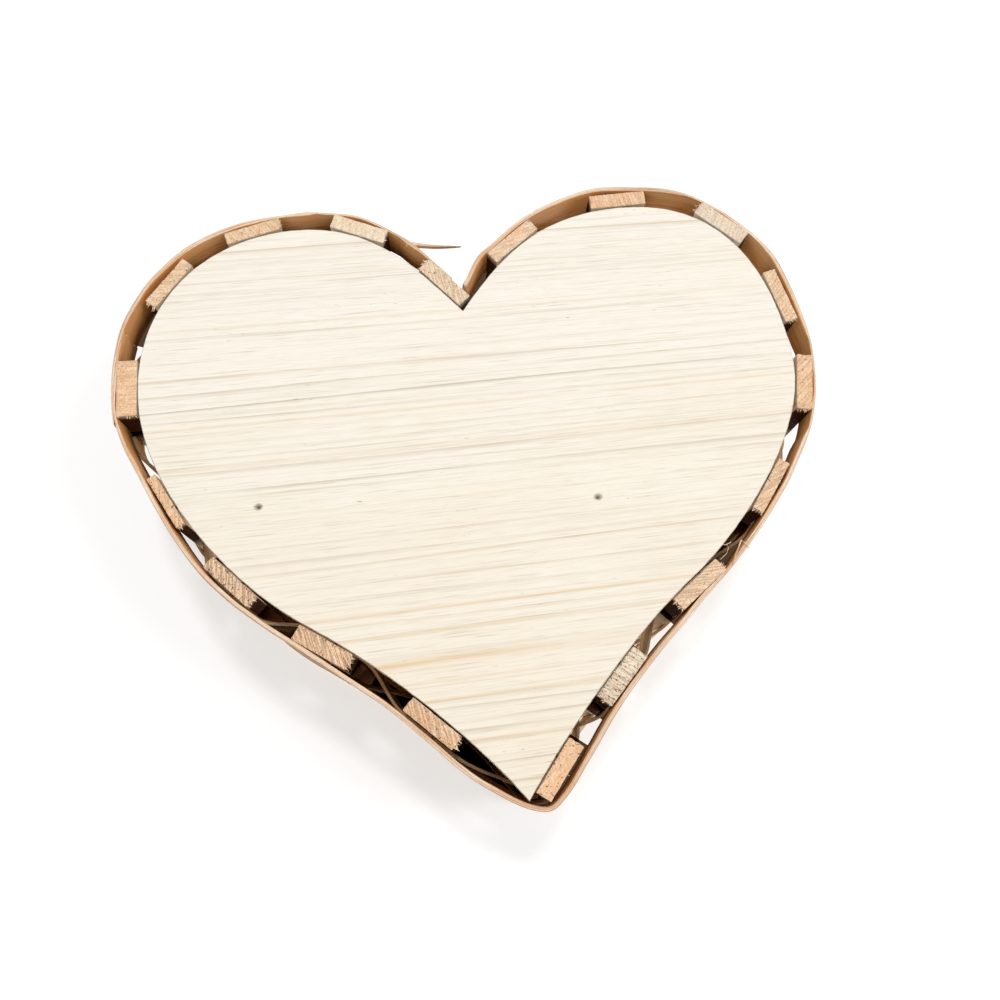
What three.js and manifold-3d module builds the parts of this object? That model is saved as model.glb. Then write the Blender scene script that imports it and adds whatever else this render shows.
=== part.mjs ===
import * as THREE from 'three';
import { mergeVertices } from 'three/addons/utils/BufferGeometryUtils.js';
import Module from 'manifold-3d';

// A heart-shaped wooden basket: flat lath staves stand round the edge of a heart-shaped base board,
// a thin hoop ties their feet, three splint rows are woven between them and two bands hold the rim.
// Millimetres. The base lies on Z = 0 and the mouth faces +Z. +Y is the side of the two lobes.

const wasm = await Module();
wasm.setup();

// Heart outline of the base board. Each half runs from the cleft over the top of its lobe, past its
// widest point and the hollow of its flank to the tip. A reach is how far a curve follows its tangent.
const CLEFT_Y = 62;
const TIP_Y = -104.4;
const MINUS_X_HALF = {
  side: -1,
  lobeTop: [60, 95],
  lobeReach: [30, 37],
  widest: [112, 29.5],
  widestReach: [36.5, 24],
  flank: [62.5, -42],
  flankReach: [27, 25],
  flankSlope: 34.5,
  cleftReach: [15.5, 18.5],
  tipReach: [15, 19.5],
};
const PLUS_X_HALF = {
  side: 1,
  lobeTop: [56.5, 99.5],
  lobeReach: [29, 30],
  widest: [113.2, 42],
  widestReach: [37, 30],
  flank: [63, -41.5],
  flankReach: [31, 26],
  flankSlope: 34.5,
  cleftReach: [14.5, 18],
  tipReach: [15, 22],
};
const BASE_THICKNESS = 5;
const OUTLINE_STEPS = 12;

// Two shallow marks in the underside, left by the pins that held the board while it was sawn.
const PIN_MARKS = [[75.5, 0.5], [-36.5, -10.5]];
const PIN_MARK_RADIUS = 0.9;
const PIN_MARK_DEPTH = 1.2;

// Staves: sawn laths, spaced by hand. A drift is how far a stave stands off an even spacing, and a
// surplus is how much thicker it was sawn than the others.
const STAVE_WIDTH = 20;
const STAVE_THICKNESS = 5;
const STAVES_PER_HALF = 9;
const FIRST_STAVE_FROM_CLEFT = 31.5;
const LAST_STAVE_FROM_TIP = 13.5;
const FIRST_STAVE_FROM_TIP = 39;
const LAST_STAVE_FROM_CLEFT = 12;
const MINUS_X_DRIFT = [0, 3, 2.5, -2, -7.5, -6, -1.5, 1.5, 0];
const PLUS_X_DRIFT = [0, 6, 5, 2, 5.8, 7.5, 3.5, 2, 0];
const MINUS_X_SURPLUS = [0, 0.1, 0.5, -0.3, 0.5, -1, 0, 0.7, 0.5];
const PLUS_X_SURPLUS = [0.3, 0.4, -0.4, -1.8, 1.9, -0.6, -0.6, 0.2, 0.3];

// Splint, the thin strip of the woven rows, and the thicker strip of the hoop and the rim bands.
const SPLINT = 1;
const BAND = 2;
const WALL_HEIGHT = 90;
const STAVE_DROP = 1;
const HOOP_HEIGHT = 15.5;
const HOOP_LIFT = 0.5;
const RIM_HEIGHT = 14;
const ROW_COUNT = 3;
const ROW_GAP = 2;
const OVERRUN = 0.6;
const CROSSING_STEPS = 7;
const TIP_STEPS = 5;
const TIP_CREASE = 4;
const BEND_REACH = 0.33;
const TIP_REACH = 0.15;

// Where the strips start and stop beside the cleft. An outer strip stops on the last stave.
const OUTER_START = 8;
const OUTER_START_OFF_EDGE = 5;
const INNER_START = 9;
const OUTER_STOP_PAST_CENTRE = 0.5;
const INNER_STOP_PAST_CENTRE = 8;

// The hoop's own joint: two thinned ends lie one on the other over a stave of the +X lobe.
const LAP_STAVE = 13;
const LAP_LEAD = 2;
const LAP_LENGTH = 34;
const LAP_THINNING = 1.5;
const LAP_SETTLE = 14;

// A splinter has split off the hoop's outer face near the cleft and points straight on.
const SPLINTER_ROOT_FROM_END = 22;
const SPLINTER_LENGTH = 21;
const SPLINTER_WIDTH = 2;
const SPLINTER_POINT = 0.5;
const SPLINTER_HEIGHT = 3;
const SPLINTER_ANGLE = 35;

// Nails: one through the hoop and each stave into the board's edge, and one through the rim bands
// at every second stave. Their heads are sunk flush.
const NAIL_RADIUS = 0.65;
const NAIL_HEAD_RADIUS = 1.3;
const NAIL_HEAD_THICKNESS = 0.5;
const NAIL_BITE = 8;
const NAIL_POINT = 1.5;
const NAIL_SIDES = 8;
const NAIL_SET_BACK = 3;
const RIM_NAIL_EVERY = 2;

// Clearance between touching pieces.
const FIT = 0.3;

const board = new THREE.MeshStandardMaterial({ color: 0xefe3cb, roughness: 0.8, metalness: 0 });
const lath = new THREE.MeshStandardMaterial({ color: 0xdfb78d, roughness: 0.85, metalness: 0 });
const splint = new THREE.MeshStandardMaterial({ color: 0xe3bd96, roughness: 0.75, metalness: 0 });
const steel = new THREE.MeshStandardMaterial({ color: 0x8c8a86, roughness: 0.4, metalness: 0.9 });

const basket = new THREE.Group();

function addMesh(name, geometry, material) {
  const mesh = new THREE.Mesh(geometry, material);
  mesh.name = name;
  basket.add(mesh);
  return mesh;
}

function numbered(name, index) {
  return `${name}_${String(index + 1).padStart(2, '0')}`;
}

// Boolean cuts and joins

function toSolid(geometry) {
  const bare = geometry.clone();
  bare.deleteAttribute('normal');
  bare.deleteAttribute('uv');
  const merged = mergeVertices(bare, 1e-4);
  return new wasm.Manifold(new wasm.Mesh({
    numProp: 3,
    vertProperties: new Float32Array(merged.attributes.position.array),
    triVerts: new Uint32Array(merged.index.array),
  }));
}

function toGeometry(solid) {
  const mesh = solid.getMesh();
  const geometry = new THREE.BufferGeometry();
  geometry.setAttribute('position', new THREE.BufferAttribute(mesh.vertProperties, 3));
  geometry.setIndex(new THREE.BufferAttribute(mesh.triVerts, 1));
  geometry.computeVertexNormals();
  return geometry;
}

function drilled(geometry, holes) {
  const cut = holes.reduce((solid, hole) => solid.subtract(toSolid(hole)), toSolid(geometry));
  return toGeometry(cut);
}

// Heart outline, counter-clockwise from the cleft: down the -X half, then up the +X half.

function halfKnots(half) {
  const slope = THREE.MathUtils.degToRad(half.flankSlope);
  const flankRun = [-half.side * Math.cos(slope), -Math.sin(slope)];
  const point = ([x, y]) => new THREE.Vector2(half.side * x, y);
  const knot = (at, run, before, after) => ({
    at,
    before: at.clone().addScaledVector(run, -before),
    after: at.clone().addScaledVector(run, after),
  });
  const cleft = new THREE.Vector2(0, CLEFT_Y);
  const tip = new THREE.Vector2(0, TIP_Y);
  return [
    { at: cleft, after: cleft.clone().add(point(half.cleftReach)) },
    knot(point(half.lobeTop), new THREE.Vector2(half.side, 0), ...half.lobeReach),
    knot(point(half.widest), new THREE.Vector2(0, -1), ...half.widestReach),
    knot(point(half.flank), new THREE.Vector2(...flankRun), ...half.flankReach),
    { at: tip, before: tip.clone().add(point(half.tipReach)) },
  ];
}

function heartPath(ShapeClass) {
  const down = halfKnots(MINUS_X_HALF);
  const up = halfKnots(PLUS_X_HALF).reverse();
  const path = new ShapeClass();
  path.moveTo(0, CLEFT_Y);
  for (let i = 1; i < down.length; i += 1) {
    const from = down[i - 1].after;
    const into = down[i].before;
    path.bezierCurveTo(from.x, from.y, into.x, into.y, down[i].at.x, down[i].at.y);
  }
  for (let i = 1; i < up.length; i += 1) {
    const from = up[i - 1].before;
    const into = up[i].after;
    path.bezierCurveTo(from.x, from.y, into.x, into.y, up[i].at.x, up[i].at.y);
  }
  return path;
}

const outline = heartPath(THREE.Path);
const curveLengths = outline.getCurveLengths();
const outlineLength = curveLengths[curveLengths.length - 1];
const tipStation = curveLengths[halfKnots(MINUS_X_HALF).length - 2];

function outward(along) {
  return new THREE.Vector2(along.y, -along.x);
}

// A place on the board's edge, by its distance from the cleft along the outline.
function edgeAt(station) {
  const step = 0.5;
  const at = outline.getPoint(station / outlineLength);
  const behind = outline.getPoint((station - step) / outlineLength);
  const ahead = outline.getPoint((station + step) / outlineLength);
  const along = ahead.sub(behind).normalize();
  return { at, along, out: outward(along) };
}

// Staves

function halfStations(first, last, drift) {
  const pitch = (last - first) / (STAVES_PER_HALF - 1);
  return Array.from({ length: STAVES_PER_HALF }, (_, i) => first + i * pitch + (drift[i] ?? 0));
}

// How far the board's edge rises past the tangent under a stave's width.
function riseUnder(edge, station) {
  const samples = 9;
  const rises = Array.from({ length: samples }, (_, i) => {
    const offset = (i / (samples - 1) - 0.5) * STAVE_WIDTH;
    const place = THREE.MathUtils.clamp(station + offset, 0, outlineLength);
    return outline.getPoint(place / outlineLength).sub(edge.at).dot(edge.out);
  });
  return Math.max(...rises, 0);
}

// A stave is flat, so on a hollow stretch its edges touch the board and on a round one its middle.
function seatStave(station, index) {
  const edge = edgeAt(station);
  const seat = riseUnder(edge, station) + FIT;
  const thickness = STAVE_THICKNESS + [...MINUS_X_SURPLUS, ...PLUS_X_SURPLUS][index];
  const centre = edge.at.clone().addScaledVector(edge.out, seat + thickness / 2);
  const place = (along, out) => centre.clone()
    .addScaledVector(edge.along, along)
    .addScaledVector(edge.out, out);
  return { ...edge, station, seat, thickness, centre, place };
}

const staves = [
  ...halfStations(FIRST_STAVE_FROM_CLEFT, tipStation - LAST_STAVE_FROM_TIP, MINUS_X_DRIFT),
  ...halfStations(tipStation + FIRST_STAVE_FROM_TIP, outlineLength - LAST_STAVE_FROM_CLEFT, PLUS_X_DRIFT),
].map(seatStave);

// Heights

const staveHeight = WALL_HEIGHT - STAVE_DROP;
const hoopTop = HOOP_LIFT + HOOP_HEIGHT;
const rimBottom = WALL_HEIGHT - RIM_HEIGHT;
const rowPitch = (rimBottom - hoopTop - ROW_GAP) / ROW_COUNT;
const rowHeight = rowPitch - ROW_GAP;
const baseNailHeight = BASE_THICKNESS / 2;
const rimNailHeight = rimBottom + RIM_HEIGHT / 2;
const hasRimNail = (index) => index % RIM_NAIL_EVERY === 0;

// A track is the line that the middle of a strip follows round the wall. It runs straight along the
// outside or the inside of each stave and bends freely across the gaps.

function besideStave(stave, side, thickness, run) {
  const at = stave.place(run, side * (stave.thickness / 2 + FIT + thickness / 2));
  return { at, along: stave.along, station: stave.station + run };
}

function offEdge(station, distance) {
  const edge = edgeAt(station);
  return { at: edge.at.addScaledVector(edge.out, distance), along: edge.along };
}

// A free bend between two points and their directions, without the first. Its reach is how far it
// follows each direction, as a share of the distance.
function bendBetween(from, to, steps, reach = BEND_REACH) {
  const run = from.at.distanceTo(to.at);
  const start = from.at.clone().addScaledVector(from.along, run * reach);
  const end = to.at.clone().addScaledVector(to.along, -run * reach);
  const curve = new THREE.CubicBezierCurve(from.at, start, end, to.at);
  return Array.from({ length: steps }, (_, i) => {
    const t = (i + 1) / steps;
    return { at: curve.getPoint(t), along: curve.getTangent(t) };
  });
}

// Strips turn sharply at the heart's tip. One that comes off the outside of the stave there hugs the
// board's point, and one that comes off the inside is creased just before the stave's edge.
function roundTip(corner, side, thickness, next) {
  const tip = new THREE.Vector2(0, TIP_Y);
  const onward = next.at.clone().sub(side > 0 ? tip : corner.at).normalize();
  const leave = { ...corner };
  const turn = { at: tip.addScaledVector(outward(onward), FIT + thickness / 2), along: onward };
  if (side < 0) {
    leave.at = corner.at.clone().addScaledVector(corner.along, -TIP_CREASE);
    turn.at = corner.at.clone().addScaledVector(onward, TIP_CREASE);
  }
  const bend = bendBetween(leave, turn, TIP_STEPS, TIP_REACH);
  return [leave, ...bend, ...bendBetween(turn, next, TIP_STEPS)];
}

function layTrack(sideOf, thickness) {
  const halfRun = STAVE_WIDTH / 2 + OVERRUN;
  const last = staves.length - 1;
  const stopPast = sideOf(last) > 0 ? OUTER_STOP_PAST_CENTRE : INNER_STOP_PAST_CENTRE;
  const start = sideOf(0) > 0
    ? offEdge(OUTER_START, OUTER_START_OFF_EDGE)
    : offEdge(INNER_START, -thickness / 2);
  const points = [start];
  staves.forEach((stave, i) => {
    const side = sideOf(i);
    const enter = besideStave(stave, side, thickness, -halfRun);
    const leave = besideStave(stave, side, thickness, i === last ? stopPast : halfRun);
    if (i === STAVES_PER_HALF) {
      const corner = points.pop();
      points.push(...roundTip(corner, sideOf(i - 1), thickness, enter));
    } else {
      points.push(...bendBetween(points[points.length - 1], enter, CROSSING_STEPS));
    }
    points[points.length - 1] = enter;
    points.push(leave);
  });
  return measured(points);
}

// Directions follow the points, so that a strip keeps its thickness where it crosses a gap.
function measured(points) {
  let run = 0;
  return points.map((point, i) => {
    const before = points[Math.max(i - 1, 0)].at;
    const after = points[Math.min(i + 1, points.length - 1)].at;
    run += point.at.distanceTo(before);
    return { ...point, along: after.clone().sub(before).normalize(), run };
  });
}

// The part of a track between two distances along it.
function sliceTrack(track, from, to) {
  const cut = (run) => {
    const next = track.findIndex((point) => point.run >= run);
    const b = track[Math.max(next, 1)];
    const a = track[Math.max(next, 1) - 1];
    const t = (run - a.run) / (b.run - a.run);
    return {
      at: a.at.clone().lerp(b.at, t),
      along: a.along.clone().lerp(b.along, t).normalize(),
      run,
    };
  };
  const inside = track.filter((point) => point.run > from + FIT && point.run < to - FIT);
  return [cut(from), ...inside, cut(to)];
}

// A strip stands on edge along its track. Its two faces are given as distances from the track.
function stripGeometry(track, height, bottom, outerFace, innerFace) {
  const face = (point, distance) => point.at.clone().addScaledVector(outward(point.along), distance);
  const outer = track.map((point) => face(point, outerFace(point.run)));
  const inner = track.map((point) => face(point, innerFace(point.run)));
  const shape = new THREE.Shape([...outer, ...inner.reverse()]);
  const geometry = new THREE.ExtrudeGeometry(shape, { depth: height, bevelEnabled: false });
  return geometry.translate(0, 0, bottom);
}

// Nails

const headSeat = FIT + BAND - NAIL_HEAD_THICKNESS;
const lapRise = BAND - LAP_THINNING + FIT;

function nailGeometry(length) {
  const profile = [
    new THREE.Vector2(0, -length),
    new THREE.Vector2(NAIL_RADIUS, NAIL_POINT - length),
    new THREE.Vector2(NAIL_RADIUS, 0),
    new THREE.Vector2(NAIL_HEAD_RADIUS, 0),
    new THREE.Vector2(NAIL_HEAD_RADIUS, NAIL_HEAD_THICKNESS),
    new THREE.Vector2(0, NAIL_HEAD_THICKNESS),
  ];
  return new THREE.LatheGeometry(profile, NAIL_SIDES);
}

function boreGeometry(length, radius = NAIL_RADIUS) {
  return new THREE.CylinderGeometry(radius + FIT, radius + FIT, length, NAIL_SIDES);
}

// Points a nail's or a bore's +Y outwards from the stave, at a height and a distance off its face.
function nailPlace(stave, height, distance) {
  const at = stave.place(-NAIL_SET_BACK, stave.thickness / 2 + distance);
  const turn = new THREE.Matrix4().makeRotationZ(Math.atan2(-stave.out.x, stave.out.y));
  return turn.setPosition(at.x, at.y, height);
}

// A nail's head lies in the band that it holds. Its bite is how far it goes beyond the stave.
function nailAt(name, stave, height, off, bite) {
  const head = headSeat + off;
  const length = head + stave.thickness + bite;
  const reach = length + 2 * FIT;
  const bore = boreGeometry(reach).applyMatrix4(nailPlace(stave, height, head + FIT - reach / 2));
  const sink = boreGeometry(BAND, NAIL_HEAD_RADIUS);
  sink.applyMatrix4(nailPlace(stave, height, head - FIT + BAND / 2));
  return { name, stave, height, head, length, bore, sink };
}

const nails = staves.flatMap((stave, i) => {
  const off = i === LAP_STAVE ? lapRise : 0;
  const intoBoard = stave.seat + NAIL_BITE;
  const intoBand = FIT + BAND / 2;
  const base = nailAt(numbered('hoop_nail', i), stave, baseNailHeight, off, intoBoard);
  const rim = nailAt(numbered('rim_nail', i / RIM_NAIL_EVERY), stave, rimNailHeight, 0, intoBand);
  return hasRimNail(i) ? [base, rim] : [base];
});

function boresAt(height) {
  return nails.filter((nail) => nail.height === height).flatMap((nail) => [nail.bore, nail.sink]);
}

// Base board

function baseBoard() {
  const shape = heartPath(THREE.Shape);
  const blank = new THREE.ExtrudeGeometry(shape, {
    depth: BASE_THICKNESS,
    bevelEnabled: false,
    curveSegments: OUTLINE_STEPS,
  });
  const marks = PIN_MARKS.map(([x, y]) => {
    const height = 2 * PIN_MARK_DEPTH;
    const mark = new THREE.CylinderGeometry(PIN_MARK_RADIUS, PIN_MARK_RADIUS, height, NAIL_SIDES);
    return mark.rotateX(Math.PI / 2).translate(x, y, 0);
  });
  addMesh('base_board', drilled(blank, [...boresAt(baseNailHeight), ...marks]), board);
}

// Staves, each drilled for its nails

function stavePiece(stave, index) {
  const blank = new THREE.BoxGeometry(STAVE_WIDTH, stave.thickness, staveHeight);
  blank.translate(0, 0, staveHeight / 2);
  const heights = hasRimNail(index) ? [baseNailHeight, rimNailHeight] : [baseNailHeight];
  const holes = heights.map((height) => (
    boreGeometry(2 * stave.thickness).translate(-NAIL_SET_BACK, 0, height)
  ));
  const mesh = addMesh(numbered('stave', index), drilled(blank, holes), lath);
  mesh.position.set(stave.centre.x, stave.centre.y, 0);
  mesh.rotation.z = Math.atan2(stave.along.y, stave.along.x);
}

// Bottom hoop: a long strip and a short one, lapped on the +X lobe, with the splinter at its end

function bottomHoop() {
  const track = layTrack(() => 1, BAND);
  const end = track[track.length - 1].run;
  const ontoLapStave = staves[LAP_STAVE].station - STAVE_WIDTH / 2 - OVERRUN;
  const lapStart = track.find((point) => point.station >= ontoLapStave).run - LAP_LEAD;
  const lapEnd = lapStart + LAP_LENGTH;
  const along = (run) => THREE.MathUtils.clamp((run - lapStart) / LAP_LENGTH, 0, 1);
  const thinned = (run) => BAND / 2 - LAP_THINNING * along(run);
  const settled = (run) => THREE.MathUtils.smoothstep(run, lapEnd, lapEnd + LAP_SETTLE);
  const overInner = (run) => THREE.MathUtils.lerp(thinned(run) + FIT, -BAND / 2, settled(run));
  const overOuter = (run) => overInner(run) + BAND - LAP_THINNING * (1 - along(run));

  const under = sliceTrack(track, 0, lapEnd);
  const overLap = sliceTrack(track, lapStart, lapEnd);
  const over = [...overLap, ...sliceTrack(track, lapEnd, end).slice(1)];
  const underInner = () => -BAND / 2;
  const underStrip = stripGeometry(under, HOOP_HEIGHT, HOOP_LIFT, thinned, underInner);
  const overStrip = stripGeometry(over, HOOP_HEIGHT, HOOP_LIFT, overOuter, overInner);

  const root = sliceTrack(track, end - SPLINTER_ROOT_FROM_END, end)[0];
  const turn = THREE.MathUtils.degToRad(-SPLINTER_ANGLE);
  const ahead = root.along.clone().rotateAround(new THREE.Vector2(), turn);
  const aside = outward(ahead);
  const place = (run, off) => root.at.clone().addScaledVector(ahead, run).addScaledVector(aside, off);
  const splinter = new THREE.ExtrudeGeometry(new THREE.Shape([
    place(0, SPLINTER_WIDTH - BAND / 2),
    place(0, -BAND / 2),
    place(SPLINTER_LENGTH, 0),
    place(SPLINTER_LENGTH, SPLINTER_POINT),
  ]), { depth: SPLINTER_HEIGHT, bevelEnabled: false }).translate(0, 0, HOOP_LIFT);

  const splintered = toGeometry(toSolid(overStrip).add(toSolid(splinter)));
  addMesh('bottom_hoop_long', drilled(underStrip, boresAt(baseNailHeight)), splint);
  addMesh('bottom_hoop_short', drilled(splintered, boresAt(baseNailHeight)), splint);
}

// Woven rows: each passes outside every second stave, and the next row takes the others

function wovenRow(index) {
  const sideOf = (stave) => ((stave + index) % 2 === 0 ? -1 : 1);
  const bottom = hoopTop + ROW_GAP + index * rowPitch;
  const track = layTrack(sideOf, SPLINT);
  const strip = stripGeometry(track, rowHeight, bottom, () => SPLINT / 2, () => -SPLINT / 2);
  addMesh(numbered('woven_row', index), strip, splint);
}

// Rim: an outer and an inner band with the staves' tops between them

function rimBand(name, side) {
  const track = layTrack(() => side, BAND);
  const strip = stripGeometry(track, RIM_HEIGHT, rimBottom, () => BAND / 2, () => -BAND / 2);
  addMesh(name, drilled(strip, boresAt(rimNailHeight)), splint);
}

function nailPiece(nail) {
  const mesh = addMesh(nail.name, nailGeometry(nail.length), steel);
  mesh.applyMatrix4(nailPlace(nail.stave, nail.height, nail.head));
}

baseBoard();
staves.forEach(stavePiece);
bottomHoop();
for (let row = 0; row < ROW_COUNT; row += 1) {
  wovenRow(row);
}
rimBand('rim_outer', 1);
rimBand('rim_inner', -1);
nails.forEach(nailPiece);

// The origin is the middle of the basket's footprint.
basket.updateMatrixWorld(true);
const footprint = new THREE.Box3().setFromObject(basket, true).getCenter(new THREE.Vector3());
basket.position.set(-footprint.x, -footprint.y, 0);

export default basket;
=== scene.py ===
import math
import random

import bmesh
import bpy
from mathutils import Euler, Matrix, Vector, noise


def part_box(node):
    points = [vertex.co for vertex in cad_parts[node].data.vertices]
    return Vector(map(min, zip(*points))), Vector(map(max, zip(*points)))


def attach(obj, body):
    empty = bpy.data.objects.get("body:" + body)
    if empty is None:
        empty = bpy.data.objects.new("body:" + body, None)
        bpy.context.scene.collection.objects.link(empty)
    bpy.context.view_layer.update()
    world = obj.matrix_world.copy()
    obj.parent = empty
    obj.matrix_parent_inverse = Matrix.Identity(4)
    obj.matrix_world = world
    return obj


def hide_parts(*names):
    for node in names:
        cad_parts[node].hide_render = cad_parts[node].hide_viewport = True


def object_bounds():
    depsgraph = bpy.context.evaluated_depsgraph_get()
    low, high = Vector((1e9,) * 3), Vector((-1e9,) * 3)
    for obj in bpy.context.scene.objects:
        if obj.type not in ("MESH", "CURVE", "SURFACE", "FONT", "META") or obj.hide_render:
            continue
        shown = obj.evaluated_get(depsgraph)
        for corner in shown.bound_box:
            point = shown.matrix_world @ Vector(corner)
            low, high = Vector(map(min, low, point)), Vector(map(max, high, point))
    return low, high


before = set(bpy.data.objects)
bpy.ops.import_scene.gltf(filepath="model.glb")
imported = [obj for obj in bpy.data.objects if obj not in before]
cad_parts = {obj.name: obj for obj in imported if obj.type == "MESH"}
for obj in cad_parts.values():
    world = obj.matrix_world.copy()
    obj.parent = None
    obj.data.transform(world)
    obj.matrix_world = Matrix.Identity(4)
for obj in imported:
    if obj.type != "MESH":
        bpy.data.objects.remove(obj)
cad_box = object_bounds()

# Camera: the basket stands upside down in the photograph, and the camera looks at its underside, a
# little off the middle of the board. Here the basket stands upright, so the camera looks up from
# below.
CAMERA_PLACE = (0.01707, -0.08924, -0.3375)
CAMERA_TURN = (-166.03, 1.86, -172.33)
CAMERA_LENS = 37.62
CAMERA_SENSOR = 36.0

scene = bpy.context.scene
scene.view_settings.view_transform = "Standard"

camera_data = bpy.data.cameras.new("camera")
camera_data.lens = CAMERA_LENS
camera_data.sensor_width = CAMERA_SENSOR
camera = bpy.data.objects.new("camera", camera_data)
camera.location = CAMERA_PLACE
camera.rotation_euler = Euler([math.radians(turn) for turn in CAMERA_TURN])
scene.collection.objects.link(camera)
scene.camera = camera

# Ground: the upturned basket stands on its rim, and seen from above it stands on its base. Each
# ground shows from its own side only, and lets the other side's light and view through.
GROUND_SIZE = 30.0
GROUND_GAP = 0.0006
WHITE_GROUND = (0.60, 0.60, 0.60)
WHITE_GROUND_GLOW = 0.52


class Shader:
    """The nodes of a material or a world, made and joined one after another."""

    def __init__(self, name, kind="materials"):
        self.owner = getattr(bpy.data, kind).new(name)
        self.owner.use_nodes = True
        self.nodes = self.owner.node_tree.nodes
        self.links = self.owner.node_tree.links
        self.nodes.clear()

    def add(self, kind, inputs=None, **settings):
        node = self.nodes.new("ShaderNode" + kind)
        for key, value in settings.items():
            setattr(node, key, value)
        for key, value in (inputs or {}).items():
            if isinstance(value, bpy.types.NodeSocket):
                self.links.new(value, node.inputs[key])
            else:
                node.inputs[key].default_value = value
        return node

    def maths(self, operation, first, second=0.0, third=0.0):
        inputs = {0: first, 1: second, 2: third}
        return self.add("Math", inputs, operation=operation).outputs[0]

    def times(self, first, second):
        return self.maths("MULTIPLY", first, second)

    def ranged(self, value, low, high, to_low=0.0, to_high=1.0):
        inputs = {
            "Value": value, "From Min": low, "From Max": high, "To Min": to_low, "To Max": to_high,
        }
        return self.add("MapRange", inputs).outputs[0]

    def attribute(self, name, output="Vector"):
        return self.add("Attribute", attribute_name=name).outputs[output]

    def parts(self, vector):
        return self.add("SeparateXYZ", {0: vector}).outputs

    def finish(self, surface, output="OutputMaterial"):
        self.add(output, {"Surface": surface})
        return self.owner


def seen_from_front(shader, surface):
    """A surface for the eye alone and from its front alone. Light and every other look pass it."""
    clear = shader.add("BsdfTransparent")
    side = shader.add("NewGeometry")
    ray = shader.add("LightPath")
    front = shader.maths("SUBTRACT", ray.outputs["Is Camera Ray"], side.outputs["Backfacing"])
    amount = shader.maths("MAXIMUM", front, 0.0)
    mix = shader.add("MixShader", {0: amount, 1: clear.outputs[0], 2: surface.outputs[0]})
    return shader.finish(mix.outputs[0])


def ground_material(name, colour, glow):
    shader = Shader(name)
    diffuse = shader.add("BsdfDiffuse", {"Color": (*colour, 1)})
    light = shader.add("Emission", {"Strength": glow})
    both = shader.add("AddShader", {0: diffuse.outputs[0], 1: light.outputs[0]})
    return seen_from_front(shader, both)


def new_piece(name, shape, *materials):
    """An object made of a bmesh, which is used up."""
    mesh = bpy.data.meshes.new(name)
    shape.to_mesh(mesh)
    shape.free()
    for material in materials:
        mesh.materials.append(material)
    piece = bpy.data.objects.new(name, mesh)
    scene.collection.objects.link(piece)
    return piece


def ground(name, height, facing, material):
    sheet = bmesh.new()
    bmesh.ops.create_grid(sheet, x_segments=1, y_segments=1, size=GROUND_SIZE / 2)
    if facing < 0:
        bmesh.ops.reverse_faces(sheet, faces=sheet.faces)
    bmesh.ops.translate(sheet, verts=sheet.verts, vec=(0, 0, height))
    new_piece(name, sheet, material)


white_ground = ground_material("white_ground", WHITE_GROUND, WHITE_GROUND_GLOW)
rim_height = cad_box[1][2]
ground("ground_under_rim", rim_height + GROUND_GAP, -1, white_ground)
ground("ground_under_base", -GROUND_GAP, 1, white_ground)

# Light: an even white room and four soft lamps, two below the basket and two above it. Below it,
# one stands to the camera's right, and one over the camera gives the short shadow at the tip.
ROOM_LIGHT = 0.65
LAMP_TARGET = Vector((0, 0, 0.04))
LAMPS = [
    ("lamp_below_right", (-1.45, -0.20, -2.5), 0.60, 18),
    ("lamp_below_near", (-0.12, 0.55, -2.5), 0.26, 20),
    ("lamp_above_right", (-1.39, -0.60, 2.5), 0.72, 24),
    ("lamp_above_near", (0.50, -0.80, 2.5), 0.50, 13),
]


def lamp(name, place, size, power):
    data = bpy.data.lights.new(name, "AREA")
    data.shape = "DISK"
    data.size = size
    data.energy = power
    light = bpy.data.objects.new(name, data)
    light.location = place
    light.rotation_euler = (LAMP_TARGET - light.location).to_track_quat("-Z", "Y").to_euler()
    scene.collection.objects.link(light)


for entry in LAMPS:
    lamp(*entry)

room = Shader("room", "worlds")
even_light = room.add("Background", {"Strength": ROOM_LIGHT})
backdrop = room.add("Background")
to_camera = room.add("LightPath").outputs["Is Camera Ray"]
mix = room.add("MixShader", {0: to_camera, 1: even_light.outputs[0], 2: backdrop.outputs[0]})
scene.world = room.finish(mix.outputs[0], "OutputWorld")

# Base board: one heart sawn from a pale softwood board, its grain nearly straight across its width
# and its edge a little fuzzy. The pins that held it to the saw table left two torn marks in the
# underside.
MM = 0.001
EDGE_STEP = 1.5 * MM
MERGE = 0.01 * MM
BOARD_EDGE_ROUND = 0.35 * MM
BOARD_EDGE_WOBBLE = 0.12 * MM
BOARD_EDGE_WOBBLE_LENGTH = 3 * MM
BOARD_EDGE_EASING = 3
HEART_SHIFT = Vector((-1.268 * MM, -0.162 * MM))


def flat_top(node):
    """The outline of a node's flat top, counter-clockwise."""
    shape = bmesh.new()
    shape.from_mesh(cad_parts[node].data)
    bmesh.ops.remove_doubles(shape, verts=shape.verts, dist=MERGE)
    top = max(vert.co.z for vert in shape.verts)
    flat = {face for face in shape.faces if min(vert.co.z for vert in face.verts) > top - MERGE}
    rim = [edge for edge in shape.edges if sum(face in flat for face in edge.link_faces) == 1]
    beside = {}
    for edge in rim:
        for vert in edge.verts:
            beside.setdefault(vert, []).append(edge.other_vert(vert))
    loops = []
    while beside:
        vert = next(iter(beside))
        loop = []
        while vert in beside:
            loop.append(vert.co.xy)
            onward = beside.pop(vert)
            vert = next((other for other in onward if other in beside), None)
        loops.append([point.copy() for point in loop])
    outline = max(loops, key=len)
    area = sum(a.x * b.y - b.x * a.y for a, b in zip(outline, outline[1:] + outline[:1]))
    shape.free()
    return outline if area > 0 else outline[::-1]


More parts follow.
